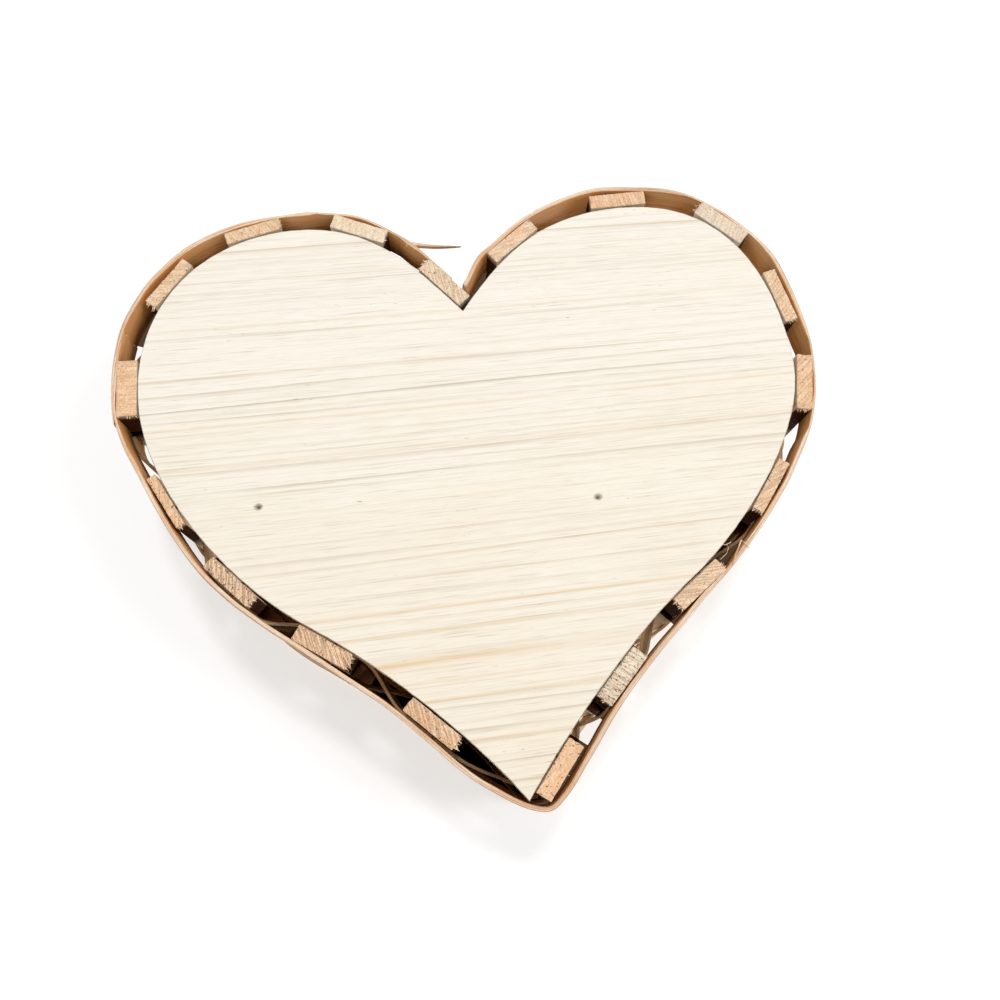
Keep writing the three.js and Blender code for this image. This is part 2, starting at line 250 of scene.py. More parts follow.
def even_steps(points, step):
    """Even steps along a line: the point before each, how far on toward the next, and the run."""
    runs = [0.0]
    for a, b in zip(points, points[1:]):
        runs.append(runs[-1] + (b - a).length)
    count = max(2, round(runs[-1] / step))
    steps = []
    i = 0
    for k in range(count + 1):
        run = runs[-1] * k / count
        while i < len(points) - 2 and runs[i + 1] < run:
            i += 1
        steps.append((i, (run - runs[i]) / (runs[i + 1] - runs[i]), run))
    return steps


def eased(values, rounds):
    """Values smoothed along a line, ends kept."""
    for _ in range(rounds):
        inner = [(a + 2 * b + c) / 4 for a, b, c in zip(values, values[1:], values[2:])]
        values = [values[0], *inner, values[-1]]
    return values


def square_to(way):
    """The way to the right of a way on the plan."""
    return Vector((way.y, -way.x))


def wander(place, length, seed=0):
    """Smooth noise from -1 to 1 with bumps about as wide as the length."""
    return noise.noise(Vector(place) / length + Vector((seed * 7.31, seed * 3.17, 0)))


def heart_halves(outline):
    """The outline from the cleft down to the tip, and from the tip up to the cleft."""
    count = len(outline)

    def turn(i):
        before = outline[i] - outline[i - 1]
        after = outline[(i + 1) % count] - outline[i]
        return before.angle_signed(after)

    cleft = max(range(count), key=turn)
    outline = outline[cleft:] + outline[:cleft + 1]
    tip = min(range(count), key=lambda i: outline[i].y)
    return outline[:tip + 1], outline[tip:]


def loop_of(shape, points, height):
    """A closed line of edges at one height."""
    verts = [shape.verts.new((point.x, point.y, height)) for point in points]
    return [shape.edges.new((a, b)) for a, b in zip(verts, verts[1:] + verts[:1])]


board_low, board_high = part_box("base_board")
heart = []
for half in heart_halves(flat_top("base_board")):
    spaced = [half[i].lerp(half[i + 1], part) for i, part, _ in even_steps(half, EDGE_STEP)]
    heart += eased(spaced, BOARD_EDGE_EASING)[:-1]
board_edge = []
for before, point, after in zip(heart[-1:] + heart[:-1], heart, heart[1:] + heart[:1]):
    out = square_to((after - before).normalized())
    wobble = BOARD_EDGE_WOBBLE * wander((point.x, point.y, 0), BOARD_EDGE_WOBBLE_LENGTH)
    board_edge.append(point + out * (wobble - BOARD_EDGE_WOBBLE))

board_shape = bmesh.new()
under_edge = loop_of(board_shape, board_edge, board_low[2])
inner_edge = loop_of(board_shape, board_edge, board_high[2])
bmesh.ops.bridge_loops(board_shape, edges=under_edge + inner_edge)

# A torn pin mark: a ragged hole a little longer than wide, dark with broken fibre and painted
# shade.
PIN_MARKS = [(75.8, 0.4), (-36.4, -10.3)]
PIN_TEAR_SIDES = 28
PIN_TEAR_RADIUS = 1.7 * MM
PIN_TEAR_RINGS = 7
PIN_TEAR_DEPTH = 1.6 * MM
PIN_TEAR_RAGGED = 0.3
PIN_TEAR_RAGGED_LENGTH = 0.7 * MM
PIN_TEAR_FLOOR_ROUGH = 0.1 * MM
PIN_TEAR_NARROW = 0.78
# As shares of the radius: the hole's own edge, how much it strays, and the rim, which stays put.
PIN_HOLE = 0.62
PIN_HOLE_STRAYS = 1.6
PIN_RIM = 0.95
# How steeply the hole's side falls and how quickly it is painted darker with its depth.
PIN_HOLE_STEEP = 3.0
PIN_HOLE_DARKENS = 1.6


def on_board(x, y, height=0.0):
    """A place on the board's plan, in mm from the heart's own middle line."""
    return Vector((x * MM + HEART_SHIFT.x, y * MM + HEART_SHIFT.y, height))


def clamped(value):
    """A value kept from 0 to 1."""
    return min(1.0, max(0.0, value))


def take_in(shape, other):
    """Adds another shape to a shape."""
    mesh = bpy.data.meshes.new("taken_in")
    other.to_mesh(mesh)
    other.free()
    shape.from_mesh(mesh)
    bpy.data.meshes.remove(mesh)


mark_edges = []
stain_and_shade = board_shape.verts.layers.float.new("stain_and_shade")
for number, (x, y) in enumerate(PIN_MARKS):
    tear = bmesh.new()
    dark = tear.verts.layers.float.new("stain_and_shade")
    bmesh.ops.create_circle(tear, cap_ends=True, segments=PIN_TEAR_SIDES, radius=PIN_TEAR_RADIUS)
    floor = next(iter(tear.faces))
    for ring in range(1, PIN_TEAR_RINGS):
        bmesh.ops.inset_region(tear, faces=[floor], thickness=PIN_TEAR_RADIUS / PIN_TEAR_RINGS)
        floor = min(tear.faces, key=lambda face: face.calc_center_median().length)
    bmesh.ops.poke(tear, faces=[floor])
    for vert in tear.verts:
        reach = vert.co.length / PIN_TEAR_RADIUS
        ragged = PIN_TEAR_RAGGED * wander(vert.co, PIN_TEAR_RAGGED_LENGTH, number + 1)
        if reach < PIN_RIM:
            deep = clamped((PIN_HOLE + ragged * PIN_HOLE_STRAYS - reach) * PIN_HOLE_STEEP)
            vert.co.z += PIN_TEAR_DEPTH * deep * (1 - 0.5 * reach) + PIN_TEAR_FLOOR_ROUGH * ragged
            # Painted darker with depth: the broken fibre's colour and the hole's shade.
            vert[dark] = min(1.0, deep * PIN_HOLE_DARKENS)
            vert.co.x *= 1 + ragged
        vert.co.y *= PIN_TEAR_NARROW
    bmesh.ops.translate(tear, verts=tear.verts, vec=on_board(x, y, board_low[2]))
    before = set(board_shape.edges)
    take_in(board_shape, tear)
    added = [edge for edge in board_shape.edges if edge not in before]
    mark_edges += [edge for edge in added if len(edge.link_faces) == 1]

bmesh.ops.triangle_fill(board_shape, use_beauty=True, edges=inner_edge)
bmesh.ops.triangle_fill(board_shape, use_beauty=True, edges=under_edge + mark_edges)
bmesh.ops.recalc_face_normals(board_shape, faces=board_shape.faces)
arris = [edge for edge in under_edge + inner_edge if edge.is_valid]
bmesh.ops.bevel(
    board_shape, geom=arris, affect="EDGES", offset=BOARD_EDGE_ROUND, segments=2, profile=0.5,
    material=-1,
)

# The sawn edge beside the arris is painted dark as the gap's shade, a thin line next to the staves.
GAP_SHADE = 0.6
GAP_SHADE_FROM = 0.05 * MM
GAP_SHADE_TO = 1.0 * MM
# Painted shade: a dark band on the board's edge just above its underside.
for vert in board_shape.verts:
    if GAP_SHADE_FROM < vert.co.z - board_low[2] < GAP_SHADE_TO:
        vert[stain_and_shade] = GAP_SHADE


def tone(red, green, blue):
    """A colour as the eye sees it, from 0 to 255, made linear."""
    def linear(value):
        value /= 255
        return value / 12.92 if value <= 0.04045 else ((value + 0.055) / 1.055) ** 2.4
    return (linear(red), linear(green), linear(blue), 1)


# The wood of the board: cream, a little more yellow toward the tip. Its growth rings show as long
# lines 2 to 3 mm apart, pale before each line and sharp after it, with a few wider tan bands and
# short brown dashes.
BOARD_CREAM = tone(254, 248, 236)
BOARD_DEEP = tone(251, 241, 222)
BOARD_TAN = tone(224, 194, 152)
BOARD_GREY = tone(186, 172, 150)
BOARD_ORANGE = tone(232, 198, 152)
BOARD_FLECK = tone(120, 92, 66)
# The colour of the torn pin marks and of the sawn edge's painted shade.
BOARD_STAIN_AND_SHADE = tone(58, 34, 18)
# How far the grain leans off the heart's width, and how much more it leans for each metre up.
BOARD_GRAIN_LEAN = -0.016
BOARD_GRAIN_FAN = -0.27
RING_SPACING = 2.5 * MM
FINE_SPACING = 1.05 * MM
# The widest bands: how far up the heart, how wide, both in mm, and how strong.
GRAIN_BANDS = [
    (-57.5, 2.6, 0.95), (-40.5, 1.4, 0.8), (27.5, 1.2, 0.6), (13.5, 1.4, 0.45), (-70, 1.4, 0.7),
    (79, 1.0, 0.55), (62, 1.1, 0.45), (45, 0.9, 0.5), (-84, 1.5, 0.85), (-48, 1.1, 0.6),
    (-64, 1.0, 0.6),
]


def grain_noise(shader, place, sizes, detail=3.0, roughness=0.55, distortion=0.0, at=(0, 0, 0)):
    """Noise whose bumps are about as long, wide and high as the sizes, in metres."""
    inputs = {"Vector": place, "Location": at, "Scale": sizes}
    mapping = shader.add("Mapping", inputs, vector_type="TEXTURE")
    inputs = {
        "Vector": mapping.outputs[0], "Scale": 1.0, "Detail": detail, "Roughness": roughness,
        "Distortion": distortion,
    }
    return shader.add("TexNoise", inputs).outputs[0]


def mixed(shader, amount, first, second):
    """The first colour where the amount is nothing, and the second where it is 1."""
    return shader.add("Mix", {0: amount, 6: first, 7: second}, data_type="RGBA").outputs[2]


def streaked(shader, colour, other, pattern, low, high, most):
    """A colour with another laid over it where a pattern rises from low to high."""
    return mixed(shader, shader.ranged(pattern, low, high, 0.0, most), colour, other)


def wood_surface(shader, colour, height, depth, roughness, specular):
    """Bare wood, its grain raised as deep as the depth."""
    bump = shader.add("Bump", {"Height": height, "Strength": 1.0, "Distance": depth})
    inputs = {
        "Base Color": colour, "Roughness": roughness, "Normal": bump.outputs[0],
        "Specular IOR Level": specular,
    }
    return shader.finish(shader.add("BsdfPrincipled", inputs).outputs[0])


def ring_lines(shader, place, spacing, seed):
    """Lines at uneven steps across the grain, and for each line a number of its own."""
    across = shader.parts(place)[1]
    slow = grain_noise(shader, place, (0.40, 5 * spacing, 0.05), 1.0, at=(seed, 0, 0))
    quick = grain_noise(shader, place, (0.16, 1.3 * spacing, 0.05), 1.0, at=(seed, 0.5, 0))
    steps = shader.maths("MULTIPLY_ADD", slow, 3.2, shader.times(quick, 0.7))
    count = shader.maths("MULTIPLY_ADD", across, 1 / spacing, steps)
    part = shader.maths("FRACT", count)
    rise = shader.maths("POWER", shader.ranged(part, 0.2, 0.92), 2.0)
    line = shader.times(rise, shader.ranged(part, 0.93, 1.0, 1.0, 0.0))
    own = shader.add("TexWhiteNoise", {"W": shader.maths("FLOOR", count)}, noise_dimensions="1D")
    return line, own.outputs["Value"], own.outputs["Color"]


def board_wood():
    shader = Shader("board_wood")
    x, y, z = shader.parts(shader.add("TexCoord").outputs["Object"])
    lean = shader.maths("MULTIPLY_ADD", y, BOARD_GRAIN_FAN, BOARD_GRAIN_LEAN)
    across = shader.maths("MULTIPLY_ADD", x, lean, y)
    place = shader.add("CombineXYZ", {0: x, 1: across, 2: z}).outputs[0]

    cloud = grain_noise(shader, place, (0.09, 0.03, 0.05), 2.0)
    toward_tip = shader.ranged(y, 0.06, -0.09)
    deep = shader.maths("ADD", toward_tip, shader.ranged(cloud, 0.3, 0.7, -0.3, 0.3))
    colour = mixed(shader, deep, BOARD_CREAM, BOARD_DEEP)

    line, strength, own = ring_lines(shader, place, RING_SPACING, 0.0)
    along = grain_noise(shader, place, (0.09, 0.004, 0.01), 2.0, at=(0.3, 0.1, 0))
    along = shader.ranged(along, 0.36, 0.62, 0.15, 1.0)
    strength = shader.maths("POWER", strength, 1.8)
    line = shader.times(line, shader.times(strength, along))
    greyness = shader.parts(own)[1]
    line_colour = mixed(shader, greyness, BOARD_TAN, BOARD_GREY)
    colour = mixed(shader, shader.times(line, 0.85), colour, line_colour)

    fine, fine_strength, _ = ring_lines(shader, place, FINE_SPACING, 0.7)
    fine_along = grain_noise(shader, place, (0.05, 0.002, 0.01), 2.0, at=(0.9, 0.4, 0))
    fine_strength = shader.times(fine_strength, shader.ranged(fine_along, 0.42, 0.62))
    fine = shader.times(fine, fine_strength)
    colour = mixed(shader, shader.times(fine, 0.42), colour, BOARD_GREY)

    for middle, width, most in GRAIN_BANDS:
        off = shader.maths("ABSOLUTE", shader.maths("SUBTRACT", across, middle * MM))
        wavy = shader.maths("MULTIPLY_ADD", along, 0.6 * MM, off)
        band = shader.ranged(wavy, width * MM, 0.4 * MM, 0.0, most)
        colour = mixed(shader, shader.times(band, along), colour, BOARD_ORANGE)

    fibre = grain_noise(shader, place, (0.010, 0.00036, 0.002), 3.0, 0.7)
    hair = grain_noise(shader, place, (0.022, 0.00055, 0.002), 2.0, 0.6, at=(0.2, 0.7, 0))
    colour = streaked(shader, colour, BOARD_TAN, fibre, 0.45, 0.75, 0.30)
    colour = streaked(shader, colour, BOARD_GREY, hair, 0.60, 0.72, 0.45)
    flecks = grain_noise(shader, place, (0.0042, 0.00034, 0.002), 1.0, at=(0.3, 0.2, 0))
    blotch = grain_noise(shader, place, (0.02, 0.012, 0.02), 2.0, at=(0.7, 0.1, 0))
    fleck = shader.times(shader.ranged(flecks, 0.72, 0.80), shader.ranged(blotch, 0.52, 0.62))
    colour = mixed(shader, fleck, colour, BOARD_FLECK)
    # Dark where pins tore the wood, with painted shade in the holes and along the sawn edge.
    torn = shader.attribute("stain_and_shade", "Fac")
    colour = mixed(shader, shader.times(torn, 0.95), colour, BOARD_STAIN_AND_SHADE)

    height = shader.maths("MULTIPLY_ADD", fibre, 0.5, shader.times(line, -0.6))
    rough = shader.ranged(fibre, 0.3, 0.7, 0.52, 0.70)
    return wood_surface(shader, colour, height, 0.00012, rough, 0.25)


board = new_piece("board", board_shape, board_wood())
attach(board, "root")
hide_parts("base_board")

# Staves: eighteen laths ripped from the same kind of board and cut off with a coarse saw, so their
# ends are rough and each has its own colour. They stand round the board's edge, nailed through the
# hoop, and their tops are caught between the rim bands.
STAVE_ROUND = 0.3 * MM
# Only the corners of a stave's end lie this far from another point of it.
CORNER_REACH = 20 * MM
# Cuts across a stave's width, thickness and height, which make room for its rough surface.
STAVE_CUTS = (38, 11, 22)
STAVE_BOW = 0.25 * MM
STAVE_BOW_LENGTH = 45 * MM
FACE_ROUGH = 0.06 * MM
FACE_ROUGH_LENGTH = 1.2 * MM
FLANK_ROUGH = 0.10 * MM
FLANK_ROUGH_LENGTH = 1.1 * MM
RAGGED_REACH = 1.5 * MM
END_EDGE_REACH = 0.7 * MM
PIT_SIZE = 0.9 * MM
PIT_DEPTH = 0.32 * MM
PIT_SPREAD = 0.15
# A face turned up or down this much belongs to a stave's end.
END_FACE = 0.55

# How each stave's end looks, in order from the cleft: how tan it is, how grey, how pitted, how
# strong the saw's lines are, and their angle.
STAVE_LOOKS = [
    (0.60, 0.0, 0.20, 0.5, 20), (0.85, 0.0, 0.15, 0.5, 80), (0.12, 0.75, 0.12, 0.35, 75),
    (0.65, 0.0, 0.20, 0.5, 60), (0.90, 0.0, 0.30, 0.5, 40), (0.70, 0.0, 0.35, 0.6, 30),
    (0.70, 0.2, 0.35, 0.6, 35), (0.08, 0.3, 0.66, 0.7, 85), (1.00, 0.0, 0.45, 0.3, 10),
    (0.85, 0.0, 0.45, 0.7, 35), (0.85, 0.0, 0.45, 0.9, 40), (0.80, 0.1, 0.60, 1.0, 45),
    (1.00, 0.0, 0.45, 0.5, 30), (0.90, 0.0, 0.08, 0.4, 88), (0.75, 0.1, 0.45, 0.5, 50),
    (0.70, 0.0, 0.30, 0.5, 70), (0.15, 0.0, 0.08, 0.3, 80), (0.45, 0.2, 0.40, 0.5, 30),
]


class Lath:
    """A stave's place: its middle, the way along the wall, the way out of it, and its sizes."""

    def __init__(self, node):
        corners = flat_top(node)
        corners = [p for p in corners if max((p - q).length for q in corners) > CORNER_REACH]
        middle = sum(corners, Vector((0, 0))) / len(corners)
        sides = [b - a for a, b in zip(corners, corners[1:] + corners[:1])]
        along = max(sides, key=lambda side: side.length)
        self.along = along.normalized()
        if middle.cross(self.along) < 0:
            self.along = -self.along
        self.out = square_to(self.along)
        self.middle = middle
        self.width = along.length
        self.thickness = min(sides, key=lambda side: side.length).length
        low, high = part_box(node)
        self.low = low[2]
        self.high = high[2]

    def place(self, across, through, up=0.0):
        spot = self.middle + self.along * across + self.out * through
        return Vector((spot.x, spot.y, up))


def split_along(shape, axis, cuts):
    """Cuts every edge that runs along an axis."""
    def runs(edge):
        way = edge.verts[1].co - edge.verts[0].co
        return abs(way[axis]) > 0.98 * way.length and way.length > 2 * STAVE_ROUND
    edges = [edge for edge in shape.edges if runs(edge)]
    bmesh.ops.subdivide_edges(shape, edges=edges, cuts=cuts, use_grid_fill=True)


def stave_shape(number, lath, look):
    """A stave as a sawn block with a rough end. Its points carry the marks that its woods read."""
    tan, grey, pits, saw_strength, saw_angle = look
    height = lath.high - lath.low
    shape = bmesh.new()
    bmesh.ops.create_cube(shape, size=1.0)
    bmesh.ops.scale(shape, verts=shape.verts, vec=(lath.width, lath.thickness, height))
    bmesh.ops.bevel(
        shape, geom=shape.edges, affect="EDGES", offset=STAVE_ROUND, segments=2, profile=0.5,
        material=-1,
    )
    for axis, cuts in enumerate(STAVE_CUTS):
        split_along(shape, axis, cuts)
    marks = shape.verts.layers.float_vector
    grain, saw, looks, sides = [marks.new(name) for name in ("grain", "saw", "looks", "sides")]
    turn = Matrix.Rotation(math.radians(saw_angle), 3, "Z")
    own_lines = Vector((number * 0.031, number * 0.017, saw_strength))
    for vert in shape.verts:
        x, y, z = vert.co
        vert[grain] = Vector((x + number * 0.07, y + number * 0.013, z))
        vert[saw] = turn @ Vector((x, y, 0)) + own_lines
        vert[looks] = Vector((tan, grey, pits))
        to_side = min(lath.width / 2 - abs(x), lath.thickness / 2 - abs(y))
        flank = 1.0 if lath.width / 2 - abs(x) < STAVE_ROUND * 0.5 else 0.0
        vert[sides] = Vector((flank, max(0.0, 1 - to_side / END_EDGE_REACH), z + height / 2))
        ragged = max(0.0, 1 - (height / 2 - abs(z)) / RAGGED_REACH)
        pit = wander((x, y * 1.6, number * 0.05), PIT_SIZE, 3)
        pit += 0.5 * wander((x, y, number * 0.03), PIT_SIZE / 2)
        sawn = pits * PIT_DEPTH * ragged * max(0.0, pit + PIT_SPREAD)
        z -= math.copysign(sawn, z)
        y += STAVE_BOW * wander((0, 0, z + number * 0.3), STAVE_BOW_LENGTH) * (1 - ragged)
        rough = 0.5 + 1.5 * ragged
        y += FACE_ROUGH * rough * wander((x, y, z * 0.15), FACE_ROUGH_LENGTH, number)
        if flank:
            x += FLANK_ROUGH * rough * wander((x, y, z * 0.2), FLANK_ROUGH_LENGTH, number + 20)
        vert.co = lath.place(x, y, z + lath.low + height / 2)
    bmesh.ops.recalc_face_normals(shape, faces=shape.faces)
    for face in shape.faces:
        face.material_index = 1 if abs(face.normal.z) > END_FACE else 0
        face.smooth = True
    return shape


STAVE_CREAM = tone(255, 243, 215)
STAVE_TAN = tone(255, 208, 164)
STAVE_LIGHT = tone(255, 242, 218)
STAVE_GREY = tone(242, 228, 208)
STAVE_PORE = tone(204, 144, 98)
STAVE_PIT = tone(96, 52, 28)
STAVE_SIDE = tone(228, 196, 156)
STAVE_SIDE_DEEP = tone(196, 150, 104)
# The colour of painted shade, on the staves' flanks and the split wood's faces.
DEEP_SHADE = tone(56, 26, 8)


def lath_end():
    """Sawn end grain: open pores, the saw's lines and pits where fibres tore out."""
    shader = Shader("lath_end")
    place = shader.attribute("grain")
    sawn = shader.attribute("saw")
    saw_strength = shader.parts(sawn)[2]
    tan, grey, pits = shader.parts(shader.attribute("looks"))
    to_edge = shader.parts(shader.attribute("sides"))[1]
    cloud = grain_noise(shader, place, (0.0035, 0.0025, 0.02), 3.0)
    pores = grain_noise(shader, place, (0.00065, 0.00050, 0.02), 2.0, 0.6)
    light = grain_noise(shader, place, (0.0009, 0.0006, 0.02), 2.0, 0.6, at=(0.5, 0.9, 0))
    holes = grain_noise(shader, place, (0.00060, 0.0013, 0.02), 2.5, 0.6, 0.5, at=(0.31, 0.2, 0))
    scratch = grain_noise(shader, sawn, (0.012, 0.00042, 0.5), 2.0, 0.6)

    amount = shader.maths("ADD", tan, shader.ranged(cloud, 0.3, 0.7, -0.25, 0.25))
    colour = mixed(shader, amount, STAVE_CREAM, STAVE_TAN)
    colour = mixed(shader, grey, colour, STAVE_GREY)
    colour = streaked(shader, colour, STAVE_PORE, pores, 0.42, 0.70, 0.55)
    colour = streaked(shader, colour, STAVE_LIGHT, light, 0.52, 0.68, 0.60)
    stripe = shader.times(shader.ranged(scratch, 0.50, 0.64), saw_strength)
    colour = mixed(shader, shader.times(stripe, 0.55), colour, STAVE_PORE)
    edge = shader.maths("MULTIPLY_ADD", pits, -0.17, 0.72)
    edge = shader.maths("MULTIPLY_ADD", to_edge, shader.times(pits, -0.10), edge)
    hole = shader.ranged(holes, edge, shader.maths("ADD", edge, 0.06))
    colour = mixed(shader, shader.times(hole, 0.85), colour, STAVE_PIT)
    height = shader.maths("MULTIPLY_ADD", pores, 0.5, shader.times(hole, -1.2))
    height = shader.maths("SUBTRACT", height, stripe)
    return wood_surface(shader, colour, height, 0.0003, 0.8, 0.2)


def lath_side():
    """Sawn faces with the grain running up the stave. Deep in the gaps the flanks are painted dark
    as shade.
    """
    shader = Shader("lath_side")
    place = shader.attribute("grain")
    tan = shader.parts(shader.attribute("looks"))[0]
    flank, _, up = shader.parts(shader.attribute("sides"))
    bands = grain_noise(shader, place, (0.006, 0.006, 0.20), 2.0)
    lines = grain_noise(shader, place, (0.0011, 0.0011, 0.09), 3.0, 0.6, 0.4)
    fibre = grain_noise(shader, place, (0.00035, 0.00035, 0.012), 2.0, 0.6)
    saw = grain_noise(shader, place, (0.03, 0.03, 0.0011), 1.0)
    colour = mixed(shader, shader.times(tan, 0.8), BOARD_DEEP, STAVE_SIDE)
    banded = shader.ranged(bands, 0.35, 0.65, 0.35, 1.0)
    line = shader.times(shader.ranged(lines, 0.5, 0.72), banded)
    colour = mixed(shader, shader.times(line, 0.6), colour, STAVE_SIDE_DEEP)
    colour = streaked(shader, colour, STAVE_SIDE_DEEP, fibre, 0.4, 0.75, 0.25)
    # Painted shade on the flanks: dark from the stave's foot to about 22 mm up, gone by 40 mm, less
    # glossy.
    near = shader.ranged(up, 0.0003, 0.0035, 0.35, 0.98)
    far = shader.ranged(up, 0.022, 0.040, 1.0, 0.0)
    deep = shader.times(flank, shader.times(near, far))
    colour = mixed(shader, deep, colour, DEEP_SHADE)
    height = shader.maths("MULTIPLY_ADD", fibre, 0.5, shader.times(saw, 0.6))
    gloss = shader.maths("MULTIPLY_ADD", deep, -0.2, 0.2)
    return wood_surface(shader, colour, height, 0.00025, 0.72, gloss)


# A stave driven in against the board, and how far.
SET_IN = {14: 0.4 * MM}

lath_side_wood = lath_side()
lath_end_wood = lath_end()
laths = []
for number, look in enumerate(STAVE_LOOKS, 1):
    node = f"stave_{number:02d}"
    lath = Lath(node)
    lath.middle -= lath.out * SET_IN.get(number, 0.0)
    laths.append(lath)
    shape = stave_shape(number, lath, look)
    stave = new_piece(f"lath_{number:02d}", shape, lath_side_wood, lath_end_wood)
    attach(stave, "root")
    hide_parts(node)

# Bottom hoop: two long strips of split wood, bent round the feet of the staves and nailed through.
# The short one is lapped over the long one at a stave, and its outer face has split off in a
# splinter near the cleft. The edges are pale where the wood was split, the faces browner.
STRIP_STEP = 1.2 * MM
STRIP_EASING = 3
STRIP_ROUND = 0.3 * MM
STRIP_ARC_STEPS = 2
STRIP_FACE_CUTS = 9
STRIP_EDGE_CUTS = 4
# The size of the bumps along a strip's edges, on its faces and on its torn ends, and of the finer
# bumps on top of them.
EDGE_BUMP = 3 * MM
EDGE_FUZZ = 1.2 * MM
FACE_BUMP = 9 * MM
FACE_FUZZ = 3 * MM
TORN_BUMP = 1.3 * MM
TORN_FUZZ = 0.5 * MM
# How far in from its end a strip is torn, as a multiple of the tears' depth, and how quickly the
# bumps of its edges fade toward its middle.
STRIP_TORN_REACH = 4
STRIP_EDGE_FADE = 4
# The faces are flatter where half the strip's thickness is less than this.
STRIP_FULL_HALF = 0.5 * MM
# A face turned up or down this much belongs to a strip's edge.
STRIP_EDGE_FACE = 0.6
HOOP_EDGE_WAVE = 0.16 * MM
HOOP_FACE_WAVE = 0.10 * MM
HOOP_TORN = 0.9 * MM
# The inner faces are painted in shade toward the board, less so at the upper lobe on the lamp's far
# side.
SHADE_FROM = 0.18
SHADE_OVER = 0.62
LIT_PLACE = on_board(-92.0, 80.0).xy
LIT_REACH = 100 * MM
LIT_MOST = 0.95


class Station:
    """One place along a strip: its middle, half its thickness, how far along it is, its height."""

    def __init__(self, middle, half, run, low, high):
        self.middle = middle
        self.half = half
        self.run = run
        self.low = low
        self.high = high
        self.out = Vector((0, 0))

    def side(self, off):
        """A point off the middle, outward where off is more than nothing."""
        return self.middle + self.out * off

    def place(self, off, height):
        spot = self.side(off)
        return Vector((spot.x, spot.y, height))


def rails(node):
    """A strip's outer and inner side, both counter-clockwise round the basket."""
    loop = flat_top(node)
    half = len(loop) // 2

    def spread(start):
        pairs = [(loop[(start + k) % len(loop)], loop[start - 1 - k]) for k in range(half)]
        return sum((a - b).length for a, b in pairs)

    start = min(range(len(loop)), key=spread)
    first = [loop[(start + k) % len(loop)] for k in range(half)]
    second = [loop[start - 1 - k] for k in range(half)]
    if sum(a.cross(b) for a, b in zip(first, first[1:])) > 0:
        return first, second
    return second[::-1], first[::-1]


def face_out(line):
    """Gives each station the way out of the basket, square to the strip."""
    for k, station in enumerate(line):
        along = line[min(k + 1, len(line) - 1)].middle - line[max(k - 1, 0)].middle
        station.out = square_to(along).normalized()


def stations(node):
    """A strip's line, along the middle of its node."""
    outer, inner = rails(node)
    low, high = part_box(node)
    middle = [(a + b) / 2 for a, b in zip(outer, inner)]
    half = [(a - b).length / 2 for a, b in zip(outer, inner)]
    line = []
    for i, part, run in even_steps(middle, STRIP_STEP):
        thick = half[i] + (half[i + 1] - half[i]) * part
        line.append(Station(middle[i].lerp(middle[i + 1], part), thick, run, low[2], high[2]))
    for station, spot in zip(line, eased([station.middle for station in line], STRIP_EASING)):
        station.middle = spot
    face_out(line)
    return line


def section(half, low, high, rounding):
    """Points round a strip's cut: over the top, down the inner face, and back up the outer one."""
    rounding = min(rounding, half * 0.9)
    corners = [(1, 1), (-1, 1), (-1, -1), (1, -1)]
    middle = (low + high) / 2
    reach = (high - low) / 2
    arcs = []
    for quarter, (side, end) in enumerate(corners):
        arc = []
        for k in range(STRIP_ARC_STEPS + 1):
            turn = math.radians(90 * (quarter + k / STRIP_ARC_STEPS))
            off = side * (half - rounding) + rounding * math.cos(turn)
            arc.append(Vector((off, middle + end * (reach - rounding) + rounding * math.sin(turn))))
        arcs.append(arc)
    points = []
    for quarter, arc in enumerate(arcs):
        onward = arcs[(quarter + 1) % 4][0]
        cuts = STRIP_FACE_CUTS if quarter % 2 else STRIP_EDGE_CUTS
        points += arc
        points += [arc[-1].lerp(onward, k / (cuts + 1)) for k in range(1, cuts + 1)]
    return points


